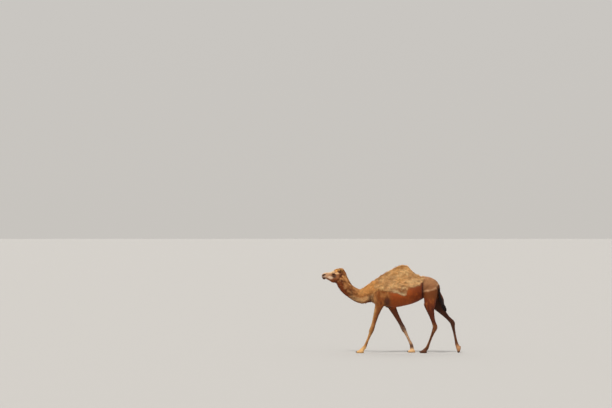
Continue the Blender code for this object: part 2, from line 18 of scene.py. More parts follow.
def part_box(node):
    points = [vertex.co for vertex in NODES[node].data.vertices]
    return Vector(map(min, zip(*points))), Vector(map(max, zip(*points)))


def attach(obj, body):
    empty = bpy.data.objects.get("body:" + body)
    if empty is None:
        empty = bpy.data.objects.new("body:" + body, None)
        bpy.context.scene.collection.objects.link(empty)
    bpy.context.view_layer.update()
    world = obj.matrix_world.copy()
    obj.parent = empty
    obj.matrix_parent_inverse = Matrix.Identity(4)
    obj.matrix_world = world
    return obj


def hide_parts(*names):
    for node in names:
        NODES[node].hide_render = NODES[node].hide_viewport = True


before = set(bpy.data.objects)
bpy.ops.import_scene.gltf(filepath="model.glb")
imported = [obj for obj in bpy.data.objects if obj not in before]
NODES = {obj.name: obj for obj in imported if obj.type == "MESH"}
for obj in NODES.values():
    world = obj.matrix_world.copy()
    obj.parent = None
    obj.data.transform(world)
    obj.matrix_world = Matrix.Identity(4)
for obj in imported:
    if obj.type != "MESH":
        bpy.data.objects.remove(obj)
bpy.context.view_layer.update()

MM = 0.001
FAR = 9.0  # a distance greater than any on the camel
SIDES = {"left": -1, "right": 1}
LEGS = ("fore_left", "fore_right", "hind_left", "hind_right")
BODY_PARTS = ("head", "ear_left", "ear_right", "neck", "trunk", "hump", "tail", "tail_tuft")
LEG_PARTS = tuple(part + "_" + side for side in SIDES for part in (
    "forearm", "fore_shank", "fore_foot", "thigh", "gaskin", "hind_shank", "hind_foot"))
FLESH = BODY_PARTS + LEG_PARTS
HEAD = FLESH.index("head")

# The skin's fineness.
SKIN_GRAIN = 5.2 * MM  # the mesh on the head
SKIN_TRIANGLES = 138_000  # before the face is made finer
BACK_OF_HEAD = -1.06  # x, where the skin begins to be thinned
SMOOTHING_PASSES = 46


# ---------------------------------------------------------------- small tools
def middle(node):
    low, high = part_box(node)
    return (low + high) / 2


def ramp(value, start, end):
    """0 before start, 1 after end, with a soft step between them. start may be the larger."""
    t = np.clip((value - start) / (end - start), 0, 1)
    return t * t * (3 - 2 * t)


def along_line(x, points):
    """The height at x of a line through points (x, z)."""
    xs, zs = zip(*points)
    return np.interp(x, xs, zs)


def near(points, centre, radii):
    """1 at centre, fading to 0 at the surface of an ellipsoid round it."""
    d = np.linalg.norm((points - np.array(centre)) / np.array(radii), axis=1)
    return 1 - ramp(d, 0.35, 1.0)


def lattice_value(cells, seed):
    """A steady random number from 0 to 1 for each cell of a lattice."""
    n = cells[:, 0] * 374761393 + cells[:, 1] * 668265263 + cells[:, 2] * 2147483647 + seed * 1274126177
    n = (n ^ (n >> 13)) * 1274126177
    n = n ^ (n >> 16)
    return (n & 0xFFFFFF) / float(0xFFFFFF)


def mottle(points, size, seed=0, layers=2):
    """Soft random patches of about this size, from -1 to 1."""
    total = np.zeros(len(points))
    for layer in range(layers):
        p = points / (size / 2**layer)
        base = np.floor(p).astype(np.int64)
        f = p - base
        f = f * f * (3 - 2 * f)
        value = np.zeros(len(points))
        for corner in range(8):
            step = np.array([corner & 1, corner >> 1 & 1, corner >> 2 & 1])
            weight = np.prod(np.where(step, f, 1 - f), axis=1)
            value += weight * lattice_value(base + step, seed + layer * 17)
        total += (value * 2 - 1) / 2**layer
    return total / 1.4


def linear(code):
    """An sRGB hex colour as linear RGB."""
    s = np.array([int(code[i:i + 2], 16) / 255 for i in (1, 3, 5)])
    return np.where(s <= 0.04045, s / 12.92, ((s + 0.055) / 1.055) ** 2.4)


def unit(vectors):
    return vectors / np.maximum(np.linalg.norm(vectors, axis=1), 1e-9)[:, None]


def coordinates(mesh):
    co = np.empty(len(mesh.vertices) * 3)
    mesh.vertices.foreach_get("co", co)
    return co.reshape(-1, 3)


def set_coordinates(mesh, points):
    mesh.vertices.foreach_set("co", points.ravel())


def corners(mesh):
    """The mesh's triangles, as rows of three vertex numbers."""
    mesh.calc_loop_triangles()
    tri = np.empty(len(mesh.loop_triangles) * 3, np.int32)
    mesh.loop_triangles.foreach_get("vertices", tri)
    return tri.reshape(-1, 3)


def vertex_normals(points, tris):
    face = np.cross(points[tris[:, 1]] - points[tris[:, 0]], points[tris[:, 2]] - points[tris[:, 0]])
    total = np.zeros_like(points)
    for k in range(3):
        for axis in range(3):
            total[:, axis] += np.bincount(tris[:, k], face[:, axis], len(points))
    return unit(total)


def neighbour_mean(mesh):
    """A function that averages values over the vertices next to each vertex of the mesh."""
    ends = np.empty(len(mesh.edges) * 2, np.int32)
    mesh.edges.foreach_get("vertices", ends)
    a, b = ends.reshape(-1, 2).T
    n = len(mesh.vertices)
    count = np.maximum(np.bincount(a, minlength=n) + np.bincount(b, minlength=n), 1)

    def mean(values):
        columns = values.reshape(n, -1)
        out = np.empty(columns.shape)
        for k in range(columns.shape[1]):
            c = columns[:, k]
            out[:, k] = (np.bincount(a, c[b], n) + np.bincount(b, c[a], n)) / count
        return out.reshape(values.shape)

    return mean


def blended(values, mean, passes, share, finish=lambda v: v):
    """The values, blended by this share with those next to them, a number of times."""
    for _ in range(passes):
        values = finish((1 - share) * values + share * mean(values))
    return values


def linked(name, data):
    obj = bpy.data.objects.new(name, data)
    bpy.context.scene.collection.objects.link(obj)
    return obj


def mesh_of(bm, name):
    """The finished bmesh as a mesh of this name."""
    mesh = bpy.data.meshes.new(name)
    bm.to_mesh(mesh)
    bm.free()
    return mesh


def applied(obj):
    """Turns the object's modifiers into its mesh."""
    bpy.context.view_layer.update()
    graph = bpy.context.evaluated_depsgraph_get()
    mesh = bpy.data.meshes.new_from_object(obj.evaluated_get(graph))
    obj.modifiers.clear()
    obj.data = mesh
    return obj


def remeshed(obj, grain):
    melt = obj.modifiers.new("melt", "REMESH")
    melt.mode = "VOXEL"
    melt.voxel_size = grain
    return applied(obj)


def mirrored(points):
    """The points folded onto the right side."""
    return np.stack([points[:, 0], np.abs(points[:, 1]), points[:, 2]], 1)


def in_steps(line, step):
    """The line's points, with more between them, about this far apart."""
    line = np.array(line, float)
    lengths = np.r_[0, np.cumsum(np.linalg.norm(np.diff(line, axis=0), axis=1))]
    places = np.linspace(0, lengths[-1], max(int(lengths[-1] / step), 2) + 1)
    return np.stack([np.interp(places, lengths, line[:, k]) for k in range(3)], 1)


# ---------------------------------------------------------------- the body's own axes
# The middle line of head, neck and trunk: (x, z), from the nose to the root of the tail.
BODY_LINE = ((-1.55, 1.68), (-1.10, 1.70), (-1.01, 1.52), (-0.92, 1.37), (-0.78, 1.27),
             (-0.66, 1.24), (-0.50, 1.29), (-0.33, 1.35), (0.25, 1.36), (0.75, 1.45), (1.02, 1.47))


class Axis:
    """The middle line of a straight part, from its top to its foot."""

    def __init__(self, node):
        points = coordinates(NODES[node].data)
        low, high = points[:, 2].min(), points[:, 2].max()
        band = (high - low) * 0.3
        self.top = points[points[:, 2] > high - band].mean(0)
        self.foot = points[points[:, 2] < low + band].mean(0)
        self.length = np.linalg.norm(self.foot - self.top)
        self.down = (self.foot - self.top) / self.length

    def unwrap(self, points):
        """(angle round the line, distance down it), with the seam on the inner side."""
        away = points - self.top
        drop = away @ self.down
        away = away - drop[:, None] * self.down
        inner = -math.copysign(1, self.top[1])
        return np.arctan2(away[:, 0], -away[:, 1] * inner), drop


AXES = {part: Axis(part) for part in LEG_PARTS + ("tail", "tail_tuft")}


def leg_front(axis):
    """The direction square to a leg part's line, towards the front of the leg."""
    return np.array([axis.down[2], 0, -axis.down[0]])


def joint(upper, lower):
    return (AXES[upper].foot + AXES[lower].top) / 2


def body_unwrap(points):
    """(angle round the body's middle line, distance along it), with the seam on the under side."""
    centre = along_line(points[:, 0], BODY_LINE)
    return np.arctan2(points[:, 1], points[:, 2] - centre), points[:, 0].copy()


def unwrap(points, part):
    """(angle, distance) of each point on an unwrap of the skin: part is each point's part number."""
    angle, distance = body_unwrap(points)
    for name, axis in AXES.items():
        here = part == FLESH.index(name)
        angle[here], distance[here] = axis.unwrap(points[here])
    return angle, distance


def lie_of_coat(points, normals, part):
    """The way the hair lies: back from the nose, down the neck and legs, and down off the hump."""
    x = points[:, 0]
    ahead = along_line(x + 0.02, BODY_LINE) - along_line(x - 0.02, BODY_LINE)
    flow = unit(np.stack(np.broadcast_arrays(0.04, 0.0, ahead), 1))
    flow[:, 2] -= 0.55 * ramp(x, -0.45, -0.15)
    hump = part == FLESH.index("hump")
    flow[hump] = unit(np.stack(np.broadcast_arrays(0.55, 0.9 * np.sign(points[hump, 1]), -0.75), 1))
    for name, axis in AXES.items():
        flow[part == FLESH.index(name)] = axis.down
    flow = flow - (flow * normals).sum(1)[:, None] * normals
    return unit(flow)


# ---------------------------------------------------------------- places on the head
NOSE = Vector(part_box("head")[0]).x
EYES = {side: middle("eye_" + side) for side in SIDES}
EYE = EYES["right"]
EYE_RADIUS = (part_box("eye_right")[1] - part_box("eye_right")[0]).x / 2
CROWN = (EYE.x + 0.13, 0, EYE.z + 0.085)
CROWN_RADII = (0.13, 0.075, 0.075)


def on_face(dx, y, dz):
    """A place on the right of the face: dx behind the tip of the nose, dz below the eye's middle."""
    return (NOSE + dx, y, EYE.z - dz)


def by_eye(dx, dy, dz):
    """A place dx behind, dy outside and dz above the middle of the right eye."""
    return (EYE.x + dx, EYE.y + dy, EYE.z + dz)


def from_line(points, line):
    """How far each point of the muzzle is from a line there. Points elsewhere count as far."""
    distance = np.full(len(points), FAR)
    muzzle = points[:, 0] < NOSE + 0.18
    for place in in_steps(line, 4 * MM):
        away = np.linalg.norm(points[muzzle] - place, axis=1)
        distance[muzzle] = np.minimum(distance[muzzle], away)
    return distance


# ---------------------------------------------------------------- markings
# The lower, ragged edge of the long fleece on the flank: (x, z).
FLEECE_EDGE = ((-0.58, 1.10), (-0.44, 1.20), (-0.36, 1.345), (-0.23, 1.390), (-0.10, 1.350), (0.05, 1.345),
               (0.16, 1.305), (0.298, 1.260), (0.325, 1.360), (0.373, 1.435), (0.50, 1.450),
               (0.66, 1.530), (0.70, 1.620), (0.745, 1.76))
# The pale line where the coat of the rump meets the thigh: (x, z).
RUMP_LINE = ((0.70, 1.360), (0.80, 1.365), (0.90, 1.388), (0.98, 1.435), (1.03, 1.520))
# The outline of the hump: (x, z).
HUMP_LINE = ((-0.45, 1.58), (-0.32, 1.65), (-0.13, 1.77), (0.05, 1.87), (0.18, 1.92), (0.30, 1.92),
             (0.40, 1.86), (0.52, 1.75), (0.66, 1.69))
FLANK_FOLD = 0.683  # x of the fold in front of the thigh


def is_part(part, *names):
    return np.isin(part, [FLESH.index(n) for n in FLESH if n in names or n.rsplit("_", 1)[0] in names])


def fleece_share(points, part):
    """1 where the coat is long fleece, 0 where it is short."""
    x, z = points[:, 0], points[:, 2]
    ragged = mottle(points, 0.07, 3) * 0.022 + mottle(points, 0.025, 4) * 0.010
    share = ramp(z - along_line(x, FLEECE_EDGE) + ragged, -0.012, 0.012)
    share[is_part(part, *LEG_PARTS)] = 0
    share[is_part(part, "hump")] = 1
    share[is_part(part, "neck")] = 0.55
    share[is_part(part, "head", "ear", "tail", "tail_tuft")] = 0
    crown = near(points, CROWN, CROWN_RADII)
    return np.maximum(share, 0.8 * crown)


def lay(colour, code, share):
    """Lays a tint over the colour of each point. share is how well it covers, from 0 to 1."""
    colour += (linear(code) - colour) * np.clip(share, 0, 1)[:, None]


def plain(points, code):
    return np.tile(linear(code), (len(points), 1))


def streaks(points, slope, size, stretch, seed):
    """Wavy streaks, from -1 to 1, that run down and back at slope degrees below the level."""
    c, s = math.cos(math.radians(slope)), math.sin(math.radians(slope))
    x, y, z = points.T
    wave = 0.6 * size * mottle(points, size * 2.6, seed + 5)
    along, across = (x * c - z * s) / stretch, x * s + z * c + wave
    return mottle(np.stack([along, y, across], 1), size, seed)


def wool_markings(points):
    """Fleece: sandy and pale locks over dull brown ones, golden on the hump and at the front."""
    x, y, z = points.T
    # The locks hang in rows that follow the outline of the hump.
    draped = np.stack([x, y, z - 0.75 * along_line(x, HUMP_LINE)], 1)
    curls = streaks(draped, 8, 0.026, 5.5, 12)
    small = streaks(draped, 2, 0.017, 4.5, 16)
    hanging = streaks(points, 68, 0.030, 2.6, 15)
    patches = mottle(points, 0.20, 14)
    wool = plain(points, "#E4AA6C")
    lay(wool, "#E59946", ramp(patches, -0.1, 0.5) * 0.7)
    lay(wool, "#E39C4E", ramp(z, 1.66, 1.80) * 0.5)
    lay(wool, "#DC9348", ramp(x, -0.12, -0.36) * 0.6)
    lay(wool, "#C1814C", ramp(x, 0.36, 0.52) * ramp(z, 1.62, 1.78) * 0.7)
    lay(wool, "#F0BC82", ramp(x, 0.34, 0.42) * ramp(z, 1.66, 1.60) * 0.6)
    lay(wool, "#A8673A", ramp(z, 1.47, 1.38) * ramp(x, -0.08, 0.00) * ramp(x, 0.38, 0.30) * 0.8)
    lay(wool, "#8D5429", ramp(curls, -0.10, -0.50) * 0.75)
    lay(wool, "#FFD08F", ramp(curls, 0.10, 0.50) * 0.75)
    lay(wool, "#85502A", ramp(hanging, -0.20, -0.60) * 0.55 * ramp(x, 0.10, -0.15))
    lay(wool, "#7F4B24", ramp(small, -0.15, -0.60) * 0.55)
    lay(wool, "#FFE0A4", ramp(small, 0.20, 0.65) * 0.50)
    edge = np.exp(-((z - along_line(x, FLEECE_EDGE) - 0.010) / 0.020) ** 2)
    lay(wool, "#FFE3AD", edge * ramp(x, 0.00, 0.06) * ramp(x, 0.34, 0.30))
    lay(wool, "#F9B96E", edge * ramp(x, -0.08, -0.14) * ramp(x, -0.44, -0.38) * 0.6)
    return wool


def body_markings(points, part):
    """Trunk, hump, rump and tail."""
    x, _, z = points.T
    fleece = fleece_share(points, part)
    broad, fine = mottle(points, 0.16, 11), mottle(points, 0.040, 12)
    ribs = streaks(points, 75, 0.030, 3.0, 19)
    # The sleek belly is red-brown, partly its own colour and partly painted shade with warm bounce light, and
    # darker towards the thigh.
    colour = plain(points, "#9C4817")
    lay(colour, "#7A330B", ramp(x, 0.34, 0.62))
    under_fleece = along_line(x, FLEECE_EDGE) - z + 0.012 * fine
    lay(colour, "#AC7350", ramp(under_fleece, 0.095, 0.005) * ramp(x, 0.32, 0.40) * 0.15)
    lay(colour, "#B0571C", ramp(ribs, 0.10, 0.60) * 0.45)
    lay(colour, "#6E2D0B", ramp(ribs, -0.15, -0.60) * 0.45)
    # The shoulder is brown and mottled with gold, and golden down its front.
    shoulder = ramp(x, 0.03, -0.08)
    down = streaks(points, 72, 0.028, 2.8, 17)
    lay(colour, "#844617", shoulder)
    lay(colour, "#BA7B42", shoulder * ramp(down, 0.08, 0.50) * 0.70)
    lay(colour, "#4E2109", shoulder * ramp(down, -0.08, -0.50) * 0.75)
    lay(colour, "#B9824A", ramp(x, -0.28, -0.38) * (0.55 + 0.45 * fine))
    # Painted shadow in the hollow behind the elbow, between the foreleg and the belly.
    elbow = near(points, (-0.090, 0, 1.130), (0.105, 0.5, 0.135)) + 0.25 * down
    lay(colour, "#563023", np.clip(elbow, 0, 1) * 0.9)
    # Rump.
    ragged = 0.034 * fine + 0.030 * broad + 0.020 * streaks(points, 80, 0.016, 3.0, 20)
    rump = ramp(x, FLANK_FOLD, FLANK_FOLD + 0.03) * ramp(z - along_line(x, RUMP_LINE) + ragged, -0.03, 0.0)
    lay(colour, "#6E370F", ramp(x, FLANK_FOLD - 0.01, FLANK_FOLD + 0.03))
    lay(colour, "#A8754C", rump)
    lay(colour, "#BB8A5F", rump * ramp(fine, 0.1, 0.6) * 0.5)
    lay(colour, "#8A5C3A", rump * ramp(fine, -0.1, -0.6) * 0.6)
    lay(colour, "#7C4A29", rump * ramp(z, 1.58, 1.44) * 0.7)
    line = np.exp(-((z - along_line(x, RUMP_LINE) + 0.034 * fine + 0.030 * broad) / 0.016) ** 2)
    lay(colour, "#DDB083", line * ramp(x, 0.69, 0.74) * (0.70 + 0.5 * fine))
    wool = wool_markings(points)
    colour += (wool - colour) * fleece[:, None]
    # Tail.
    tail = is_part(part, "tail", "tail_tuft")
    lay(colour, "#6A3E22", tail * 1.0)
    lay(colour, "#1C0E08", tail * ramp(z, 1.47, 1.38))
    lay(colour, "#5A4234", tail * ramp(streaks(points, 70, 0.02, 5, 18), 0.35, 0.65) * 0.5)
    return colour


def neck_markings(points, normals):
    """Golden along the top near the withers, mottled on the sides, red-brown under the throat, partly as
    painted shade.
    """
    x, _, z = points.T
    under = along_line(x, BODY_LINE) - z
    fine, curls = mottle(points, 0.034, 21), streaks(points, 35, 0.027, 1.8, 22)
    small = mottle(points, 0.020, 23)
    colour = plain(points, "#A66531")
    lay(colour, "#DB9852", ramp(x, -0.84, -0.62) * ramp(under, 0.06, -0.08) * 0.95)
    low = ramp(x, -0.98, -0.84) * ramp(under, 0.020, 0.075)
    lay(colour, "#F8BE80", low * 0.95)
    # Under the throat: red-brown, partly painted shade.
    throat = ramp(x, -0.80, -0.98) * ramp(under, 0.035, 0.095)
    lay(colour, "#833E17", throat * 0.95)
    # Dark spots and pale flecks, strongest on the middle of the neck.
    strength = 0.15 + 0.85 * ramp(x, -0.68, -0.92)
    lay(colour, "#4E1C05", ramp(curls, -0.02, -0.42) * strength * 0.95)
    lay(colour, "#E8A765", ramp(curls, 0.12, 0.50) * strength * 0.8)
    lay(colour, "#FBC382", ramp(small, 0.20, 0.60) * 0.45)
    lay(colour, "#5C290C", ramp(fine, -0.20, -0.55) * strength * 0.65)
    # A red-brown band along the underside: painted shade at the neck's lower edge.
    lay(colour, "#863C14", ramp(under, 0.120, 0.155) * 0.8)
    keel = ramp(-normals[:, 2], 0.75, 0.97)
    lay(colour, "#A86331", keel * 0.5)
    # Where the neck meets the breast, with painted shade in the fold.
    groove = np.exp(-((x + 0.478 + 0.012 * fine) / 0.030) ** 2) * ramp(z, 1.30, 1.22)
    lay(colour, "#4A2417", groove * 0.9)
    ridge = np.exp(-((x + 0.418 + 0.010 * fine) / 0.014) ** 2) * ramp(z, 1.32, 1.24)
    lay(colour, "#E4B37C", ridge * 0.8)
    return colour


def head_markings(points, normals):
    """A pale muzzle and cheek, grey lips, dark round eye and nostril, and a golden crown, with painted shade
    round the eye, in the nostril and mouth, and under the jaw and ear.
    """
    fine, patches = mottle(points, 0.016, 31), mottle(points, 0.042, 32)
    hairy = streaks(points, 8, 0.009, 3.5, 33)
    side = mirrored(points)
    # The edges of the markings are uneven.
    ragged = np.stack([mottle(points, 0.030, 34), np.zeros(len(points)), mottle(points, 0.030, 35)], 1)
    spot = side + 0.011 * ragged + np.stack([0.014 * hairy, 0 * hairy, 0.006 * hairy], 1)
    x, _, z = spot.T
    back = x - NOSE  # distance from the tip of the nose
    colour = plain(points, "#8E5832")
    # Pale hair on the muzzle, cream along the bridge of the nose.
    lay(colour, "#B28561", ramp(back, 0.25, 0.14))
    lay(colour, "#BF9B7B", ramp(back, 0.130, 0.070))
    bridge = ramp(back, 0.34, 0.22) * ramp(z, EYE.z + 0.010, EYE.z + 0.038)
    lay(colour, "#DDBB8E", bridge * 0.95)
    lay(colour, "#A87B58", near(spot, on_face(0.131, 0.045, -0.014), (0.038, 0.06, 0.022)))
    # Jaw, red-brown and partly painted shade, and painted shade below and behind the eye.
    lay(colour, "#7E421E", ramp(z, EYE.z - 0.075, EYE.z - 0.115) * ramp(back, 0.10, 0.16))
    lay(colour, "#662D0E", ramp(z, EYE.z - 0.10, EYE.z - 0.17) * ramp(back, 0.20, 0.32))
    lay(colour, "#6F4226", near(spot, by_eye(0.012, 0, -0.050), (0.085, 0.07, 0.042)))
    lay(colour, "#5E4234", near(spot, by_eye(0.032, 0, -0.048), (0.058, 0.07, 0.044)) * 0.8)
    cheek = near(spot, on_face(0.190, 0.055, 0.076), (0.088, 0.09, 0.046))
    lay(colour, "#E0BF9F", cheek * 0.9)
    # Crown and temples, with painted shadows below the ear and on the back of the jaw.
    crown = ramp(back, 0.27, 0.34) * ramp(z, EYE.z + 0.030, EYE.z + 0.075)
    lay(colour, "#DA964A", crown * 0.95)
    lay(colour, "#7E3F18", crown * ramp(patches, -0.10, -0.50) * 0.6)
    lay(colour, "#F0BC78", crown * ramp(patches, 0.15, 0.55) * 0.7)
    lay(colour, "#7E3F16", ramp(back, 0.44, 0.48) * ramp(z, EYE.z + 0.010, EYE.z + 0.040) * 0.8)
    # Painted shadow below and in front of the ear.
    lay(colour, "#52240C", near(spot, (EYE.x + 0.125, 0.06, EYE.z + 0.050), (0.060, 0.07, 0.046)))
    # Painted shadow on the back of the jaw, where it meets the neck.
    dark = near(spot, (EYE.x + 0.178, 0.06, EYE.z - 0.040), (0.066, 0.12, 0.070))
    lay(colour, "#481B06", np.clip(1.5 * dark, 0, 1) * 0.9)
    temple = near(spot, by_eye(0.082, 0, 0.022), (0.056, 0.06, 0.028))
    lay(colour, "#DDB07E", np.clip(temple * 1.4, 0, 1) * 0.85)
    # Lips and mouth. The dark chin and the dark along the mouth line are painted shade under the overhanging
    # upper lip.
    lips = ramp(z, EYE.z - 0.026, EYE.z - 0.044) * ramp(back, 0.105, 0.070)
    lay(colour, "#A08270", lips * 0.95)
    chin = ramp(z, EYE.z - 0.066, EYE.z - 0.078) * ramp(back, 0.105, 0.075)
    lay(colour, "#4E2C19", chin * 0.92)
    mouth = from_line(side, MOUTH)
    lay(colour, "#4A2A1C", ramp(mouth, 0.020, 0.006) * 0.75)
    lay(colour, "#2A140C", ramp(mouth, 0.008, 0.003) * 0.95)
    lay(colour, "#6E3014", near(spot, on_face(0.131, 0.055, 0.101), (0.034, 0.05, 0.026)))
    # Nostril and the rims of the eye. The nostril is painted dark as shade in its opening. The dark round the
    # eye is partly dark skin and partly painted shadow of the brow and lashes.
    nostril = from_line(side, NOSTRIL_LINE)
    lay(colour, "#6E472D", ramp(nostril, 0.034, 0.020) * ramp(back, 0.016, 0.034) * 0.7)
    lay(colour, "#382013", ramp(nostril, 0.019, 0.010) * ramp(back, 0.012, 0.026) * 0.95)
    lay(colour, "#150B07", ramp(nostril, 0.010, 0.005) * 0.97)
    away = (side - np.array(EYE)) / (1.35, 1.0, 1.0)
    away[:, 2] *= 1 + 0.5 * (away[:, 2] > 0)  # the dark rim reaches less far above the eye
    from_eye = np.linalg.norm(away, axis=1) + 0.003 * fine
    # Painted shade round and below the eye, under the brow.
    shade = near(spot, by_eye(0.006, 0, -0.012), (0.056, 0.06, 0.025))
    lay(colour, "#42200F", np.clip(1.6 * shade, 0, 1) * 0.8)
    lay(colour, "#4E2B18", ramp(from_eye, 0.033, 0.024) * 0.85)
    lay(colour, "#241510", ramp(from_eye, 0.0235, 0.0195) * 0.95)
    # The ear is dark inside its cup.
    for which in SIDES:
        centre, tip, across, face = ear_axes(which)
        away = points - centre
        in_cup = 1 - ramp(np.hypot((away @ tip - 0.004) / 0.036, (away @ across) / 0.019), 0.5, 1.0)
        on_ear = (np.linalg.norm(away, axis=1) < 0.055) & (normals @ face > 0.1)
        lay(colour, "#4E3222", in_cup * on_ear * 0.9)
    return colour * (1 + 0.14 * fine + 0.12 * hairy)[:, None]


def leg_markings(points, normals, part):
    """Outer faces are warm brown and golden in front. Inner faces are darker, as painted shade, with pale
    shanks.
    """
    x, y, z = points.T
    fine, broad = mottle(points, 0.026, 41), mottle(points, 0.11, 42)
    down = streaks(points, 80, 0.024, 4.0, 43)
    hind = is_part(part, "thigh", "gaskin", "hind_shank", "hind_foot")
    outward = normals[:, 1] * np.sign(y)
    forward, rearward = ramp(-normals[:, 0], 0.15, 0.75), ramp(normals[:, 0], 0.25, 0.85)
    # Fore legs, outer face.
    fore = plain(points, "#82481F")
    lay(fore, "#A06835", ramp(z, 0.66, 0.46))
    lay(fore, "#56290F", rearward * 0.9)
    lay(fore, "#C49156", forward * ramp(z, 1.12, 0.90) * 0.95)
    lay(fore, "#D4AC77", ramp(fine, 0.15, 0.6) * ramp(z, 0.62, 0.50) * 0.55)
    lay(fore, "#4E2610", ramp(down, -0.05, -0.5) * 0.6)
    lay(fore, "#C68F52", ramp(down, 0.15, 0.6) * 0.5)
    lay(fore, "#D1A46B", ramp(z, 0.17, 0.09) * 0.95)
    # Fore legs, inner face: darker above, as painted shade, down to a pale shank.
    inner_fore = plain(points, "#6A361E")
    lay(inner_fore, "#4E2E22", ramp(z, 0.74, 0.64) * ramp(z, 0.44, 0.50))
    lay(inner_fore, "#AE8562", ramp(z, 0.50, 0.42))
    lay(inner_fore, "#D2A87E", ramp(fine, 0.05, 0.5) * ramp(z, 0.70, 0.50) * 0.6)
    lay(inner_fore, "#543426", ramp(z, 0.21, 0.17) * ramp(z, 0.09, 0.12) * 0.9)
    lay(inner_fore, "#D8AB78", ramp(z, 0.10, 0.07))
    # Hind legs, outer face.
    back = plain(points, "#713005")
    lay(back, "#9C5726", ramp(down, 0.05, 0.5) * 0.75 * ramp(z, 0.92, 1.06))
    lay(back, "#431500", ramp(down, -0.05, -0.50) * 0.7)
    lay(back, "#B67F47", ramp(down + 0.8 * broad, 0.10, 0.50) * ramp(z, 1.14, 1.30) * 0.75)
    lay(back, "#521D00", ramp(x, 0.90, 1.00) * ramp(z, 0.90, 1.00) * 0.7)
    lay(back, "#562400", ramp(z, 0.98, 0.84))
    lay(back, "#693819", ramp(z, 0.66, 0.60) * ramp(z, 0.44, 0.50))
    lay(back, "#46220E", ramp(z, 0.48, 0.40))
    lay(back, "#A26732", (forward + rearward) * ramp(z, 0.50, 0.40) * 0.6)
    lay(back, "#BD8956", ramp(fine, 0.25, 0.6) * ramp(z, 0.70, 0.60) * ramp(z, 0.40, 0.50) * 0.8)
    lay(back, "#58311B", ramp(z, 0.14, 0.06))
    # Hind legs, inner face: dark brown, as painted shade.
    inner_back = plain(points, "#42200F")
    lay(inner_back, "#6E3E20", (forward + rearward) * 0.4 * ramp(fine, 0.0, 0.5))
    lay(inner_back, "#5C331C", ramp(z, 0.48, 0.38))
    lay(inner_back, "#AC7C54", ramp(z, 0.22, 0.12))
    lay(inner_back, "#4A2E20", ramp(z, 0.05, 0.025))
    colour = np.where(hind[:, None], back, fore)
    inner = np.where(hind[:, None], inner_back, inner_fore)
    # Faces that turn inwards take the darker colours: painted shade from the body and the other legs.
    colour += (inner - colour) * ramp(outward, 0.05, -0.45)[:, None]
    return colour * (1 + 0.10 * broad)[:, None]


def bare_share(points):
    """1 on the bare calluses of knees, elbows, stifles and hocks, where the camel kneels."""
    share = np.zeros(len(points))
    for side in SIDES:
        knee = joint("forearm_" + side, "fore_shank_" + side)
        knee = knee + leg_front(AXES["fore_shank_" + side]) * 0.040
        hock = joint("gaskin_" + side, "hind_shank_" + side)
        hock = hock - leg_front(AXES["gaskin_" + side]) * 0.046
        elbow = AXES["forearm_" + side].top - leg_front(AXES["forearm_" + side]) * 0.070
        stifle = AXES["gaskin_" + side].top + leg_front(AXES["gaskin_" + side]) * 0.085
        for place, radii in ((knee, (0.036, 0.036, 0.062)), (hock, (0.026, 0.026, 0.036)),
                             (elbow, (0.040, 0.030, 0.050)), (stifle, (0.040, 0.034, 0.060))):
            share = np.maximum(share, near(points, place, radii))
    return ramp(share, 0.35, 0.65)


def coat_colour(points, normals, part):
    """The colour of skin and coat at each point, as linear RGB."""
    colour = body_markings(points, part)
    on_neck = is_part(part, "neck")
    on_head = is_part(part, "head", "ear")
    on_leg = is_part(part, *LEG_PARTS)
    colour[on_neck] = neck_markings(points, normals)[on_neck]
    colour[on_head] = head_markings(points, normals)[on_head]
    colour[on_leg] = leg_markings(points, normals, part)[on_leg]
    # The deep fold in front of the thigh is in shade.
    x, _, z = points.T
    fold = np.exp(-((x - FLANK_FOLD - 0.006 * mottle(points, 0.04, 12)) / 0.021) ** 2)
    fold *= ramp(z, 1.60, 1.50) * ramp(z, 1.18, 1.24)
    lay(colour, "#280B03", fold)
    lay(colour, "#4E3A2E", bare_share(points) * 0.8)
    return np.clip(colour, 0.004, 1)


# ---------------------------------------------------------------- the skin
# How far the skin lies inside the tips of the coat, by part.
COAT_DEPTH = {
    "head": 3, "ear": 2, "neck": 14, "trunk": 5, "hump": 26, "tail": 8, "tail_tuft": 22, "forearm": 5,
    "fore_shank": 4, "fore_foot": 3, "thigh": 7, "gaskin": 5, "hind_shank": 4, "hind_foot": 3,
}
FLEECE_DEPTH = 25 * MM
WOOL_REACH = 0.288  # y beyond which the wool is pressed flatter
CROWN_DEPTH = 16 * MM


def kind(name):
    return name if name in COAT_DEPTH else name.rsplit("_", 1)[0]


def flesh_mesh():
    """The flesh nodes in one mesh, each a little swollen, so that the cuts between them close."""
    bm = bmesh.new()
    for name in FLESH:
        part = bmesh.new()
        part.from_mesh(NODES[name].data)
        bmesh.ops.remove_doubles(part, verts=part.verts, dist=0.02 * MM)
        if name.startswith("ear"):
            # The ear starts as a full lobe, and its cup is pressed in later.
            hull = bmesh.ops.convex_hull(part, input=part.verts)
            spare = [g for g in hull["geom_interior"] + hull["geom_unused"]
                     if isinstance(g, bmesh.types.BMVert)]
            bmesh.ops.delete(part, geom=spare, context="VERTS")
        part.normal_update()
        for v in part.verts:
            v.co += v.normal * 0.7 * MM
        mesh = mesh_of(part, name)
        bm.from_mesh(mesh)
        bpy.data.meshes.remove(mesh)
    # The eyeballs fill their sockets, so that the lids start closed over them.
    for side in SIDES:
        place = Matrix.Translation(EYES[side])
        bmesh.ops.create_icosphere(bm, subdivisions=3, radius=EYE_RADIUS + 1.5 * MM, matrix=place)
    return mesh_of(bm, "flesh")


def smoothed(mesh, passes, share):
    """Smooths without shrinking. share from 0 to 1 says how much each vertex takes part."""
    mean = neighbour_mean(mesh)
    points = coordinates(mesh)
    for _ in range(passes):
        points = points + 0.55 * share[:, None] * (mean(points) - points)
        points = points - 0.565 * share[:, None] * (mean(points) - points)
    set_coordinates(mesh, points)
    return points


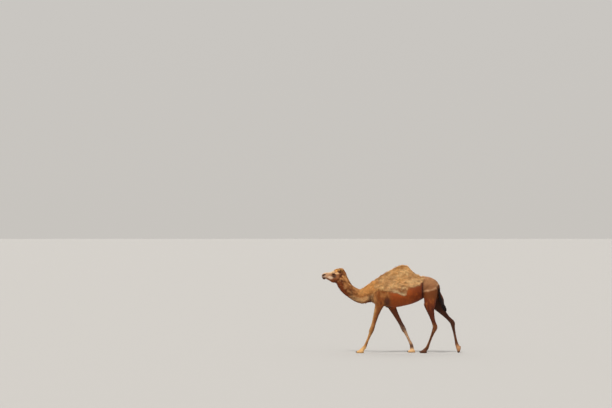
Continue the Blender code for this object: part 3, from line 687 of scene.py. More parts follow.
def thinned_behind_the_head(obj):
    """Fewer triangles behind the head, of an even size."""
    mesh = obj.data
    points = coordinates(mesh)
    tris = corners(mesh)
    surface = BVHTree.FromPolygons(points.tolist(), tris.tolist())
    body = points[:, 0] > BACK_OF_HEAD
    # A faint roughness keeps flat places from ending in a few large triangles.
    rough = np.random.default_rng(5).normal(0, 0.9 * MM, len(points)) * body
    points += vertex_normals(points, tris) * rough[:, None]
    set_coordinates(mesh, points)
    group = obj.vertex_groups.new(name="body")
    group.add(np.nonzero(body)[0].tolist(), 1.0, "REPLACE")
    thin = obj.modifiers.new("thin", "DECIMATE")
    thin.ratio = SKIN_TRIANGLES / len(tris)
    thin.vertex_group = "body"
    applied(obj)
    points = coordinates(obj.data)
    snapped = np.array([surface.find_nearest(p)[0] for p in points.tolist()])
    set_coordinates(obj.data, snapped)


def parts_of(points):
    """The number of the flesh node that each point is nearest to."""
    verts, faces, owner = [], [], []
    for number, name in enumerate(FLESH):
        mesh = NODES[name].data
        offset = len(verts)
        verts += [tuple(v) for v in coordinates(mesh)]
        tris = corners(mesh)
        faces += (tris + offset).tolist()
        owner += [number] * len(tris)
    tree = BVHTree.FromPolygons(verts, faces)
    found = [tree.find_nearest(p)[2] for p in points]
    return np.array(owner)[found]


def coat_depth(points, part, mean):
    """The depth of coat over each vertex, blended across the joins of the parts."""
    depth = np.array([COAT_DEPTH[kind(name)] * MM for name in FLESH])[part]
    trunk = is_part(part, "trunk")
    fleece = fleece_share(points, part)
    depth[trunk] += (FLEECE_DEPTH - depth[trunk]) * fleece[trunk]
    crown = near(points, CROWN, CROWN_RADII)
    depth = np.maximum(depth, CROWN_DEPTH * crown)
    return blended(depth, mean, 30, 0.6)


def finer(mesh, zone):
    """Splits each face inside the zone into four."""
    bm = bmesh.new()
    bm.from_mesh(mesh)
    picked = zone(coordinates(mesh))
    edges = [e for e in bm.edges if picked[e.verts[0].index] and picked[e.verts[1].index]]
    bmesh.ops.subdivide_edges(bm, edges=edges, cuts=1, use_grid_fill=True)
    odd = [f for f in bm.faces if len(f.verts) > 4]
    bmesh.ops.triangulate(bm, faces=odd)
    bm.to_mesh(mesh)
    bm.free()


# ---------------------------------------------------------------- carving the skin
class Carver:
    """Works on the skin with grooves and swellings. Each line is first laid on the surface."""

    def __init__(self, mesh):
        self.mesh = mesh
        self.points = coordinates(mesh)
        tris = corners(mesh)
        self.normals = vertex_normals(self.points, tris)
        self.tree = BVHTree.FromPolygons(self.points.tolist(), tris.tolist())

    def laid(self, line, step=5 * MM):
        return np.array([self.tree.find_nearest(p)[0] for p in in_steps(line, step).tolist()])

    def seen_from(self, side, pairs, step=12 * MM, inner=False):
        """A line given as (x, z), laid on the surface that shows from the left (-1) or right (1)."""
        line = in_steps([(x, 0, z) for x, z in pairs], step)
        found = []
        for x, _, z in line.tolist():
            start = (x, 0.0, z) if inner else (x, side * 0.6, z)
            hit = self.tree.ray_cast(start, (0, side if inner else -side, 0))[0]
            if hit is not None and hit.y * side > 0:
                found.append(hit)
        return np.array(found)

    def along(self, line, width, depth, ends=0.25):
        """Presses a furrow along a line, shallow towards its ends. A negative depth raises a ridge."""
        if len(line) < 2:
            return
        low, high = line.min(0) - 3 * width, line.max(0) + 3 * width
        close = np.nonzero(((self.points > low) & (self.points < high)).all(1))[0]
        near_points = self.points[close]
        best = np.full(len(close), FAR)
        place = np.zeros(len(close))
        for i, (a, b) in enumerate(zip(line, line[1:])):
            t = np.clip((near_points - a) @ (b - a) / max((b - a) @ (b - a), 1e-12), 0, 1)
            d = np.linalg.norm(near_points - a - t[:, None] * (b - a), axis=1)
            closer = d < best
            best[closer] = d[closer]
            place[closer] = (i + t[closer]) / (len(line) - 1)
        fade = ramp(place, -0.001, ends) * ramp(place, 1.001, 1 - ends)
        amount = depth * np.exp(-(best / width) ** 2) * fade
        self.points[close] -= self.normals[close] * amount[:, None]

    def on_both_sides(self, line, width, depth, ends=0.25):
        for side in SIDES.values():
            self.along(self.laid([(x, y * side, z) for x, y, z in line]), width, depth, ends)

    def swell(self, centre, radii, height):
        """Raises a rounded place. A negative height presses it in."""
        self.points += self.normals * (height * near(self.points, centre, radii))[:, None]

    def swell_both_sides(self, centre, radii, height):
        for side in SIDES.values():
            self.swell((centre[0], centre[1] * side, centre[2]), radii, height)

    def evened(self, zone, passes):
        """The points, with small bumps inside the zone evened out."""
        mean = neighbour_mean(self.mesh)
        points = self.points
        share = zone(points)[:, None]
        for _ in range(passes):
            points = points + 0.6 * share * (mean(points) - points)
        return points

    def done(self):
        set_coordinates(self.mesh, self.points)


MOUTH = [on_face(*p) for p in (
    (0.006, 0.004, 0.078), (0.014, 0.030, 0.080), (0.032, 0.048, 0.083), (0.058, 0.056, 0.088),
    (0.084, 0.057, 0.091), (0.104, 0.056, 0.087), (0.120, 0.055, 0.078))]
UPPER_LIP = [on_face(*p) for p in (
    (0.004, 0.006, 0.064), (0.014, 0.032, 0.066), (0.034, 0.050, 0.069), (0.060, 0.057, 0.074),
    (0.086, 0.058, 0.077))]
LOWER_LIP = [on_face(*p) for p in (
    (0.022, 0.006, 0.098), (0.030, 0.026, 0.098), (0.048, 0.042, 0.100), (0.072, 0.048, 0.102))]
NOSTRIL_LINE = [on_face(*p) for p in (
    (0.018, 0.028, 0.038), (0.030, 0.041, 0.031), (0.044, 0.049, 0.022), (0.060, 0.051, 0.012),
    (0.074, 0.049, 0.007))]
NOSTRIL = on_face(0.046, 0.047, 0.022)
LIP_CLEFT = [on_face(*p) for p in (
    (0.012, 0.0, 0.030), (0.004, 0.0, 0.050), (0.004, 0.0, 0.066), (0.010, 0.0, 0.080))]


# Lines on the side of the face, as mm behind and above the eye's middle: (line, width, depth).
FACE_FORMS = (
    (((-27, -10), (-48, -24), (-74, -35)), 6 * MM, 2.2 * MM),  # tear groove
    (((62, -20), (0, -42), (-84, -55)), 12 * MM, -3.5 * MM),  # facial crest
    (((150, -20), (148, -80), (118, -135)), 9 * MM, 4 * MM),  # edge of the jaw muscle
    (((66, -50), (52, -84), (30, -112)), 9 * MM, 2.0 * MM),  # hollow before the jaw muscle
)


def brow_zone(points):
    """1 round the eye and on the brow, but 0 at the lids."""
    r = np.linalg.norm(mirrored(points) - np.array(EYE), axis=1)
    return ramp(r, 0.026, 0.034) * ramp(r, 0.100, 0.075)


def face_zone(points):
    p = mirrored(points)
    return (p[:, 0] < NOSE + 0.15) | (np.linalg.norm(p - np.array(EYE), axis=1) < 0.065)


def lid_zone(points):
    p = mirrored(points)
    at_eye = np.linalg.norm(p - np.array(EYE), axis=1) < 0.036
    at_nose = np.linalg.norm((p - np.array(NOSTRIL)) / (1.0, 1.2, 0.7), axis=1) < 0.032
    return at_eye | at_nose | (from_line(p, MOUTH) < 0.010)


GAZE = np.array([-0.22, 0.97, 0.04])  # where the right eye looks
GAZE /= np.linalg.norm(GAZE)
FORE = np.cross(GAZE, (0, 0, 1.0))
FORE /= -np.linalg.norm(FORE) * np.sign(FORE[0])  # towards the nose
ABOVE = np.cross(FORE, GAZE)
ABOVE *= np.sign(ABOVE[2])
OPENING = 0.84  # half the length of the eye's opening, in eye radii


def lid_edges(across):
    """Heights of the upper and lower lid's edge, in eye radii, at a place across the opening."""
    t = np.clip(across / OPENING, -1, 1)
    bow = np.sqrt(np.clip(1 - t**2, 0, 1))
    slant = 0.08 * t  # the corner towards the nose lies lower
    return 0.40 * bow**0.8 - slant, -0.36 * bow - slant


def carve_eye(points):
    """Lids drawn close round the eyeball, with an almond opening."""
    p = mirrored(points)
    away = p - np.array(EYE)
    r = np.linalg.norm(away, axis=1)
    direction = away / np.maximum(r, 1e-6)[:, None]
    across, high = direction @ FORE, direction @ ABOVE
    lid = EYE_RADIUS + 1.8 * MM
    picked = (r < lid + 12 * MM) & (direction @ GAZE > 0.15)
    upper, lower = lid_edges(across)
    over, under = high - upper, lower - high
    gap = np.maximum(over, under)  # below 0 inside the opening
    past_corner = np.abs(across) > OPENING
    corner = np.hypot(np.abs(across) - OPENING, high + 0.08 * np.sign(across))
    gap = np.where(past_corner, corner, gap)
    reach = (1 - ramp(gap, 0.08, 0.55)) * (1 - ramp(r, lid + 3 * MM, lid + 11 * MM))
    radius = r + (lid - r) * reach
    on_top = ramp(over - under, -0.25, 0.25)
    radius += (0.6 + 0.5 * on_top) * MM * np.exp(-((gap - 0.07) / 0.055) ** 2)
    radius -= (0.6 + 1.0 * on_top) * MM * np.exp(-((gap - 0.31) / 0.095) ** 2)
    radius += (0.6 + 1.0 * on_top) * MM * np.exp(-((gap - 0.47) / 0.10) ** 2)
    radius = np.maximum(radius, EYE_RADIUS + 0.9 * MM)
    inside = EYE_RADIUS - 5.0 * MM
    radius = np.where(gap < 0, inside + (lid + 0.3 * MM - inside) * ramp(gap, -0.10, 0.0), radius)
    moved = np.array(EYE) + direction * radius[:, None]
    moved[:, 1] *= np.sign(points[:, 1])
    points[picked] = moved[picked]


def ear_axes(side):
    """The ear's middle, and its directions: towards the tip, across, and out of the cup."""
    low, high = (np.array(v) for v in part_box("ear_" + side))
    sign = SIDES[side]
    tip = np.array([0.66, sign * 0.30, 0.70])
    tip /= np.linalg.norm(tip)
    face = np.array([-0.35, sign * 0.92, 0.10])
    face -= face @ tip * tip
    face /= np.linalg.norm(face)
    return (low + high) / 2, tip, np.cross(tip, face), face


def carve_ears(carver):
    """Presses the cup into each lobe's outer face."""
    for side in SIDES:
        centre, tip, across, face = ear_axes(side)
        away = carver.points - centre
        u, v = away @ tip, away @ across
        inside = 1 - ramp(np.sqrt(((u - 0.006) / 0.034) ** 2 + (v / 0.017) ** 2), 0.45, 1.0)
        on_ear = (np.linalg.norm(away, axis=1) < 0.050) & (carver.normals @ face > 0.25)
        carver.points -= face * (0.015 * inside * on_ear)[:, None]


def carve_head(mesh):
    c = Carver(mesh)
    # Lips: the upper hangs over the lower and is cleft in the middle.
    c.on_both_sides(UPPER_LIP, 10 * MM, -4.5 * MM, 0.2)
    c.on_both_sides(LOWER_LIP, 10 * MM, -3.5 * MM, 0.2)
    c.on_both_sides(MOUTH, 3.6 * MM, 9.0 * MM, 0.10)
    c.along(c.laid(LIP_CLEFT), 2.6 * MM, 7.0 * MM, 0.15)
    c.on_both_sides([(x, 0.011, z) for x, _, z in LIP_CLEFT], 6 * MM, -2.2 * MM)
    # The upper lip turns in at its lower edge.
    c.swell_both_sides(on_face(0.058, 0.064, 0.076), (0.075, 0.028, 0.024), -7 * MM)
    # A fold behind the corner of the mouth.
    c.on_both_sides([on_face(0.132, 0.056, 0.066), on_face(0.138, 0.056, 0.084),
                     on_face(0.134, 0.050, 0.102)], 4 * MM, 2.5 * MM)
    # Nostrils: slanting slits with raised rims.
    rim = [(x, y, z + 0.009) for x, y, z in NOSTRIL_LINE]
    c.on_both_sides(rim, 6.5 * MM, -4.5 * MM, 0.3)
    rim = [(x, y, z - 0.010) for x, y, z in NOSTRIL_LINE]
    c.on_both_sides(rim, 6.5 * MM, -3.0 * MM, 0.3)
    c.on_both_sides(NOSTRIL_LINE, 4.4 * MM, 13.0 * MM, 0.3)
    # Folds from the nostril down to the lip, as the closing muscle pulls them.
    for dx in (0.052, 0.066):
        c.on_both_sides([on_face(dx, 0.05, 0.030), on_face(dx - 0.004, 0.055, 0.042),
                         on_face(dx - 0.014, 0.055, 0.056)], 3.5 * MM, 1.6 * MM)
    # Tear groove, facial crest, edge of the jaw muscle, then brow, hollows and cheek.
    for side in SIDES.values():
        for pairs, width, depth in FACE_FORMS:
            line = [(EYE.x + dx * MM, EYE.z + dz * MM) for dx, dz in pairs]
            c.along(c.seen_from(side, line, 5 * MM), width, depth, 0.4)
    c.swell_both_sides(by_eye(0.006, 0.006, 0.036), (0.066, 0.05, 0.030), -4 * MM)
    c.swell_both_sides((EYE.x - 0.010, 0.03, EYE.z - 0.178), (0.120, 0.06, 0.045), 8 * MM)
    c.swell_both_sides(by_eye(-0.060, -0.01, 0.004), (0.050, 0.05, 0.030), -3 * MM)
    c.swell_both_sides(by_eye(0.064, 0, 0.040), (0.050, 0.05, 0.034), -3 * MM)
    c.swell_both_sides(by_eye(0.088, 0, -0.080), (0.062, 0.06, 0.058), 4 * MM)
    c.points = c.evened(brow_zone, 10)
    carve_ears(c)
    carve_eye(c.points)
    c.done()


# Muscles, bones and folds of the body, as (x, z) lines seen from the side: (line, width, depth).
BODY_FORMS = (
    (((-0.47, 1.10), (-0.40, 1.22), (-0.33, 1.34), (-0.20, 1.46)), 0.030, 0.009),  # before the shoulder
    (((-0.12, 1.42), (-0.10, 1.28), (-0.12, 1.14), (-0.17, 1.04)), 0.024, 0.010),  # behind the shoulder
    (((-0.33, 1.24), (-0.22, 1.42), (-0.13, 1.58)), 0.026, -0.007),  # ridge of the shoulder blade
    (((-0.36, 1.18), (-0.29, 1.10), (-0.22, 1.04)), 0.026, -0.008),  # point of the shoulder
    (((0.69, 1.56), (0.68, 1.42), (0.70, 1.30), (0.73, 1.20)), 0.017, 0.013),  # flank fold
    (((0.73, 1.50), (0.76, 1.36), (0.78, 1.20)), 0.040, -0.008),  # front of the thigh
    (((0.98, 1.50), (0.99, 1.36), (0.97, 1.20), (0.94, 1.08)), 0.020, 0.008),  # between the thigh muscles
    (((0.76, 1.62), (0.86, 1.60), (0.96, 1.54)), 0.024, -0.005),  # hip to seat bone
    (((-1.16, 1.50), (-1.04, 1.36), (-0.92, 1.27), (-0.76, 1.20)), 0.020, 0.007),  # groove of the neck
)
RIBS = [((x, 1.30), (x + 0.05, 1.20), (x + 0.10, 1.10)) for x in (0.08, 0.16, 0.24, 0.32, 0.40, 0.48)]


def carve_body(mesh):
    c = Carver(mesh)
    for side in SIDES.values():
        for line, width, depth in BODY_FORMS:
            c.along(c.seen_from(side, line), width, depth)
        for line in RIBS:
            c.along(c.seen_from(side, line), 0.016, -0.0025)
    for side_name, side in SIDES.items():
        for shank in ("fore_shank_", "hind_shank_"):
            axis = AXES[shank + side_name]
            front = leg_front(axis)
            start = axis.top + axis.down * 0.02 - front * 0.008
            end = axis.foot - axis.down * 0.01 - front * 0.008
            for inner in (False, True):
                line = c.seen_from(side, [(start[0], start[2]), (end[0], end[2])], inner=inner)
                c.along(line, 0.008, 0.004)
        knee = joint("forearm_" + side_name, "fore_shank_" + side_name)
        front = leg_front(AXES["fore_shank_" + side_name])
        c.swell(knee + front * 0.03, (0.035, 0.05, 0.050), 0.004)
        hock = joint("gaskin_" + side_name, "hind_shank_" + side_name)
        back = -leg_front(AXES["gaskin_" + side_name])
        tendon = [(hock + back * 0.012 - AXES["gaskin_" + side_name].down * up)[[0, 2]]
                  for up in (0.03, 0.10, 0.18)]
        c.along(c.seen_from(side, tendon), 0.012, 0.006)
        c.along(c.seen_from(side, tendon, inner=True), 0.012, 0.006)
        c.swell(hock + back * 0.035, (0.035, 0.05, 0.040), 0.004)
    c.done()


def make_skin():
    skin = remeshed(linked("skin", flesh_mesh()), SKIN_GRAIN)
    points = coordinates(skin.data)
    head = ramp(points[:, 0], -0.98, -1.10) * ramp(points[:, 2], 1.45, 1.55)
    feet = ramp(points[:, 2], 0.22, 0.12)
    smoothed(skin.data, SMOOTHING_PASSES, 1 - 0.55 * np.maximum(head, feet))
    thinned_behind_the_head(skin)
    mesh = skin.data
    points = coordinates(mesh)
    mean = neighbour_mean(mesh)
    part = parts_of(points)
    depth = coat_depth(points, part, mean)
    normals = vertex_normals(points, corners(mesh))
    normals = blended(normals, mean, 8, 0.5, unit)
    points -= normals * depth[:, None]
    set_coordinates(mesh, points)
    carve_body(mesh)
    for zone, passes in ((face_zone, 3), (lid_zone, 2)):
        finer(mesh, zone)
        smoothed(mesh, passes, zone(coordinates(mesh)) * 1.0)
    carve_head(mesh)
    mesh.shade_smooth()
    return skin


class Hide:
    """What the coat needs to know of the skin: its surface, and each vertex's part and coat."""

    def __init__(self, skin):
        mesh = skin.data
        self.points = coordinates(mesh)
        self.tris = corners(mesh)
        mean = neighbour_mean(mesh)
        self.normals = vertex_normals(self.points, self.tris)
        self.part = parts_of(self.points)
        self.fleece = fleece_share(self.points, self.part)
        self.bare = bare_share(self.points)
        self.colour = blended(coat_colour(self.points, self.normals, self.part), mean, 3, 0.5)
        flow = blended(lie_of_coat(self.points, self.normals, self.part), mean, 25, 0.6, unit)
        self.flow = unit(flow - (flow * self.normals).sum(1)[:, None] * self.normals)
        self.tree = BVHTree.FromPolygons(self.points.tolist(), self.tris.tolist())
        a, b, c = (self.points[self.tris[:, k]] for k in range(3))
        self.areas = np.linalg.norm(np.cross(b - a, c - a), axis=1) / 2

    def mask(self, *names):
        """1 at the vertices of these parts, 0 elsewhere."""
        return is_part(self.part, *names) * 1.0


# ---------------------------------------------------------------- the coat
class Coat:
    """How one kind of coat grows. Lengths are in mm."""

    def __init__(self, length, width, lift, density, curl=0, gather=0.0, rings=1, spread=0.12, lean=0,
                 soft=0.5, shade=0.10, crest=0.7, clump=60, relief=0.0, root_shade=0.80):
        self.length = length * MM
        self.width = width * MM
        self.lift = lift * MM  # height of the highest tips over the skin
        self.density = density  # tufts on a square metre
        self.curl = curl * MM  # how far a tuft waves sideways
        self.gather = gather  # how far the tips of a lock draw together, 0 to 1
        self.rings = rings
        self.spread = spread  # how much the lie of single tufts varies
        self.lean = lean * MM  # how far whole locks lean out of line
        self.soft = soft  # how far the shading follows the body rather than the single tuft
        self.shade = shade  # how much tufts differ in lightness
        self.crest = crest  # how high a tuft's crest stands, as a share of half its width
        self.clump = clump * MM  # how far apart clumps of locks are
        self.relief = relief  # how much higher clumps stand than the gaps between them
        self.root_shade = root_shade  # how light a tuft is at its root


def scattered(hide, where, density, rng):
    """Random roots on the skin: their triangles, and a function that reads the skin's values there."""
    share = where[hide.tris].mean(1) * hide.areas
    count = int(share.sum() * density)
    tri = rng.choice(len(share), count, p=share / share.sum())
    a, b = rng.random(count), rng.random(count)
    flip = a + b > 1
    a[flip], b[flip] = 1 - a[flip], 1 - b[flip]
    weights = np.stack([1 - a - b, a, b], 1)

    def at(values):
        share_of_corner = weights if values.ndim == 1 else weights[:, :, None]
        return (values[hide.tris[tri]] * share_of_corner).sum(1)

    return tri, at


def on_skin(hide, points):
    """The nearest places on the skin, and its normals there."""
    places = np.empty_like(points)
    normals = np.empty_like(points)
    find = hide.tree.find_nearest
    for i, p in enumerate(points.tolist()):
        places[i], normals[i], _, _ = find(p)
    return places, normals


def lock_leaders(roots, per_lock):
    """For each root, the number of the tuft that leads its lock."""
    leaders = np.arange(0, len(roots), per_lock)
    tree = KDTree(len(leaders))
    for i in leaders.tolist():
        tree.insert(roots[i], i)
    tree.balance()
    return np.array([tree.find(p)[1] for p in roots.tolist()])


def grow(name, hide, where, coat, seed, scale=None, per_lock=9):
    """A piece of coat: a solid tapering tuft on each root, bent along the skin."""
    rng = np.random.default_rng(seed)
    tri, at = scattered(hide, where, coat.density, rng)
    count = len(tri)
    root, normal, flow, colour = at(hide.points), unit(at(hide.normals)), unit(at(hide.flow)), at(hide.colour)
    part = hide.part[hide.tris[tri, 0]]
    size = np.ones(count) if scale is None else at(scale)
    leader = lock_leaders(root, per_lock) if coat.gather else np.arange(count)
    # Clumps of wool stand higher and the gaps between them lie low, with painted shade in the gaps.
    clump = mottle(root, coat.clump, seed + 3) * coat.relief if coat.relief else np.zeros(count)
    size = size * rng.uniform(0.75, 1.25, count)[leader] * rng.uniform(0.85, 1.15, count)
    across = np.cross(normal, flow)
    turn = rng.normal(0, coat.spread * 0.6, count)[leader] + rng.normal(0, coat.spread * 0.4, count)
    turn += 2.4 * coat.spread * mottle(root, 0.06, seed)
    flow = unit(flow * np.cos(turn)[:, None] + across * np.sin(turn)[:, None])
    lean = coat.lean * rng.normal(0, 1, (count, 3))[leader]
    phase = rng.uniform(0, math.tau, count)
    wave = (phase[leader] + rng.normal(0, 0.5, count))
    layer = rng.uniform(0.30, 1.0, count)[leader] * rng.uniform(0.8, 1.0, count) * (1 + clump)
    stations = coat.rings + 1
    spine = [root - normal * 0.6 * MM]
    tops = [normal]
    place = root
    for k in range(1, stations + 1):
        t = k / stations
        step = (coat.length * size / stations)[:, None]
        place, n = on_skin(hide, place + flow * step)
        flow = unit(flow - (flow * n).sum(1)[:, None] * n)
        sideways = np.cross(n, flow)
        sway = coat.curl * size * np.sin(wave + t * 4.5) * t
        height = coat.lift * size * layer * (1.7 * t - 0.7 * t * t)
        point = place + n * height[:, None] + sideways * sway[:, None] + lean * t * t
        point += (point[leader] - point) * (coat.gather * t ** 1.5)
        spine.append(point)
        tops.append(n)
    thick = coat.width * size * rng.uniform(0.55, 1.25, count)
    own_shade = 1 + rng.normal(0, coat.shade * 0.7, count)[leader] + rng.normal(0, coat.shade * 0.9, count)
    # Painted shade and light: tufts in the gaps are darker, those on the clumps lighter.
    own_shade *= 1 + 0.35 * clump
    warmth = rng.normal(0, 0.03, count)[leader]
    tint = np.stack([1 + warmth, np.ones(count), 1 - warmth], 1)
    return tufts(name, coat, root, part, spine, tops, thick, colour * tint, own_shade, phase)


def tufts(name, coat, root, part, spine, tops, thick, colour, shade, phase):
    """One mesh of tapering tufts. spine and tops give, from root to tip, each tuft's middle line and
    the way its crest faces."""
    count, stations = len(root), coat.rings + 1
    # Rings of three corners: two at the tuft's edges and one on its crest.
    profile = np.interp(np.linspace(0, 1, stations + 1), (0, 0.35, 1), (0.75, 1.0, 0.0))
    verts = np.empty((count, coat.rings + 1, 3, 3))
    lights = np.empty((count, coat.rings + 1, 3, 3))
    for k in range(coat.rings + 1):
        ahead = unit(spine[k + 1] - spine[k])
        side = unit(np.cross(tops[k], ahead))
        crest = np.cross(ahead, side)
        half = (thick * profile[k] / 2)[:, None]
        verts[:, k, 0] = spine[k] - side * half
        verts[:, k, 1] = spine[k] + side * half
        verts[:, k, 2] = spine[k] + crest * half * coat.crest
        for corner, own in enumerate((-side, side, crest)):
            lights[:, k, corner] = unit(tops[k] * coat.soft + (0.6 * own + 0.6 * crest) * (1 - coat.soft))
    each = 3 * (coat.rings + 1) + 1
    points = np.concatenate([verts.reshape(count, -1, 3), spine[-1][:, None]], 1)
    # Wool that stands out widest on the flanks is pressed flatter.
    points[..., 1] -= 0.5 * np.sign(points[..., 1]) * np.maximum(np.abs(points[..., 1]) - WOOL_REACH, 0)
    light = np.concatenate([lights.reshape(count, -1, 3), tops[-1][:, None]], 1)
    faces = (tuft_faces(coat.rings)[None] + (np.arange(count) * each)[:, None, None]).reshape(-1, 3)
    # Along and across each tuft, for its shade and its place on the maps.
    t = np.concatenate([np.repeat(np.arange(coat.rings + 1) / stations, 3), [1.0]])
    s = np.concatenate([np.tile([-0.5, 0.5, 0.0], coat.rings + 1), [0.0]])
    shade = shade[:, None] * (coat.root_shade + (1.08 - coat.root_shade) * t)[None]
    colours = np.clip(colour[:, None] * shade[:, :, None], 0, 1)
    mesh = mesh_from(name, points.reshape(-1, 3), faces)
    set_colour(mesh, colours.reshape(-1, 3))
    angle, distance = unwrap(root, part)
    set_map(mesh, "OFBake", bake_patches(angle, distance, part, s, t).reshape(-1, 2), faces)
    reach = np.linalg.norm(spine[-1] - spine[0], axis=1)[:, None]
    fibre = np.stack([s[None] * coat.width + phase[:, None], t[None] * reach], 2)
    set_map(mesh, "Fibre", fibre.reshape(-1, 2), faces)
    mesh.shade_smooth()
    mesh.normals_split_custom_set_from_vertices(light.reshape(-1, 3))
    obj = linked(name, mesh)
    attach(obj, "root")
    return obj


def tuft_faces(rings):
    """The triangles of one tuft."""
    faces = [(0, 2, 1)]
    for k in range(rings):
        for i in range(3):
            a, b = 3 * k + i, 3 * k + (i + 1) % 3
            faces += [(a, b, a + 3), (b, b + 3, a + 3)]
    tip = 3 * (rings + 1)
    last = 3 * rings
    faces += [(last + i, last + (i + 1) % 3, tip) for i in range(3)]
    return np.array(faces)


def mesh_from(name, points, faces):
    mesh = bpy.data.meshes.new(name)
    mesh.vertices.add(len(points))
    mesh.vertices.foreach_set("co", points.astype(np.float32).ravel())
    mesh.loops.add(faces.size)
    mesh.loops.foreach_set("vertex_index", faces.astype(np.int32).ravel())
    mesh.polygons.add(len(faces))
    mesh.polygons.foreach_set("loop_start", np.arange(0, faces.size, 3, dtype=np.int32))
    mesh.update(calc_edges=True)
    return mesh


def set_colour(mesh, colours):
    layer = mesh.color_attributes.new("Coat", "FLOAT_COLOR", "POINT")
    rgba = np.ones((len(colours), 4), np.float32)
    rgba[:, :3] = colours
    layer.data.foreach_set("color", rgba.ravel())


def set_map(mesh, name, places, faces):
    layer = mesh.uv_layers.new(name=name)
    layer.uv.foreach_set("vector", places[faces.ravel()].astype(np.float32).ravel())


PATCH = 0.003


def bake_patches(angle, distance, part, s, t):
    """Each tuft's small patch at its root's place on the unwrap, whose parts stand side by side."""
    present = np.unique(part)
    column = np.searchsorted(present, part)
    u = (column + 0.03 + 0.94 * (angle / math.tau + 0.5)) / len(present)
    v = np.empty(len(part))
    for number in present:
        here = part == number
        low, high = distance[here].min(), distance[here].max()
        v[here] = 0.01 + 0.98 * (distance[here] - low) / max(high - low, MM)
    u = u[:, None] + s[None] * PATCH
    v = v[:, None] + (t[None] - 0.5) * PATCH
    return np.clip(np.stack([u, v], 2), 0, 1)


# ---------------------------------------------------------------- materials
def node(tree, kind_of_node, links=(), **settings):
    """Adds a node. settings are its properties and, as numbers, its inputs' values; links are pairs of
    (input name, output it comes from)."""
    made = tree.nodes.new(kind_of_node)
    for key, value in settings.items():
        if hasattr(made, key):
            setattr(made, key, value)
        else:
            made.inputs[key.replace("_", " ")].default_value = value
    for name, source in links:
        tree.links.new(source, made.inputs[name])
    return made


def rgba(code):
    return (*linear(code), 1)


def material(name, **values):
    """A new material and its node tree. values are its shader's numbers."""
    made = bpy.data.materials.new(name)
    made.use_nodes = True
    shader = made.node_tree.nodes["Principled BSDF"]
    for key, value in values.items():
        shader.inputs[key.replace("_", " ")].default_value = value
    return made, made.node_tree


def finished(made, colour, height=None, strength=0.0, depth=0.0):
    """Gives a material its colour and, as bump of this depth, its fine relief."""
    tree = made.node_tree
    shader = tree.nodes["Principled BSDF"]
    tree.links.new(colour, shader.inputs["Base Color"])
    if height is not None:
        bump = node(tree, "ShaderNodeBump", [("Height", height)], Strength=strength, Distance=depth)
        tree.links.new(bump.outputs[0], shader.inputs["Normal"])
    return made


def set_stops(tone, *stops):
    """Gives a colour ramp its stops, each as (place, colour)."""
    elements = tone.color_ramp.elements
    for k, (place, code) in enumerate(stops):
        element = elements[k] if k < 2 else elements.new(place)
        element.position, element.color = place, rgba(code)


# The middle of a noise texture's range, where nearly all of its values lie.
NOISE_SPAN = {"From_Min": 0.3, "From_Max": 0.7}


def wool_fibre():
    """Camel hair: keratin fibres with a dull lustre. Fine lines run along each lock."""
    made, tree = material("camel_hair", Roughness=0.70, IOR=1.55, Sheen_Weight=0.06, Sheen_Roughness=0.5,
                          Specular_IOR_Level=0.16)
    coat = node(tree, "ShaderNodeAttribute", attribute_name="Coat")
    place = node(tree, "ShaderNodeUVMap", uv_map="Fibre")
    # Fibres are 0.03 mm thick. They are drawn in strands of 0.7 mm, which still show at arm's length.
    strands = node(tree, "ShaderNodeMapping", [("Vector", place.outputs[0])], Scale=(1 / (0.7 * MM), 60, 1))
    lines = node(tree, "ShaderNodeTexNoise", [("Vector", strands.outputs[0])], Scale=1.0, Detail=2.0)
    span = node(tree, "ShaderNodeMapRange", [("Value", lines.outputs[0])], To_Min=0.78, To_Max=1.18,
                **NOISE_SPAN)
    shaded = node(tree, "ShaderNodeVectorMath", [(0, coat.outputs["Color"]), (1, span.outputs[0])],
                  operation="MULTIPLY")
    return finished(made, shaded.outputs[0], lines.outputs[0], 0.35, 0.4 * MM)


def short_hair_hide():
    """Hide under short flat hair. The nap runs the way the hair lies."""
    made, tree = material("short_hair_hide", Roughness=0.68, IOR=1.45, Sheen_Weight=0.05,
                          Specular_IOR_Level=0.2)
    coat = node(tree, "ShaderNodeAttribute", attribute_name="Coat")
    nap = node(tree, "ShaderNodeAttribute", attribute_name="Nap")
    # Guard hairs are 0.1 mm thick and 10 mm long. They are drawn 1.4 mm wide, so that they show.
    lie = node(tree, "ShaderNodeMapping", [("Vector", nap.outputs["Vector"])],
               Scale=(1 / (1.4 * MM), 1 / (11 * MM), 1))
    hairs = node(tree, "ShaderNodeTexNoise", [("Vector", lie.outputs[0])], Scale=1.0, Detail=3.0)
    place = node(tree, "ShaderNodeTexCoord")
    blotch = node(tree, "ShaderNodeTexNoise", [("Vector", place.outputs["Object"])], Scale=1 / (35 * MM),
                  Detail=3.0)
    fine = node(tree, "ShaderNodeMapRange", [("Value", hairs.outputs[0])], To_Min=0.80, To_Max=1.14,
                **NOISE_SPAN)
    broad = node(tree, "ShaderNodeMapRange", [("Value", blotch.outputs[0])], To_Min=0.90, To_Max=1.08,
                 **NOISE_SPAN)
    both = node(tree, "ShaderNodeMath", [(0, fine.outputs[0]), (1, broad.outputs[0])], operation="MULTIPLY")
    shaded = node(tree, "ShaderNodeVectorMath", [(0, coat.outputs["Color"]), (1, both.outputs[0])],
                  operation="MULTIPLY")
    return finished(made, shaded.outputs[0], hairs.outputs[0], 0.5, 0.8 * MM)


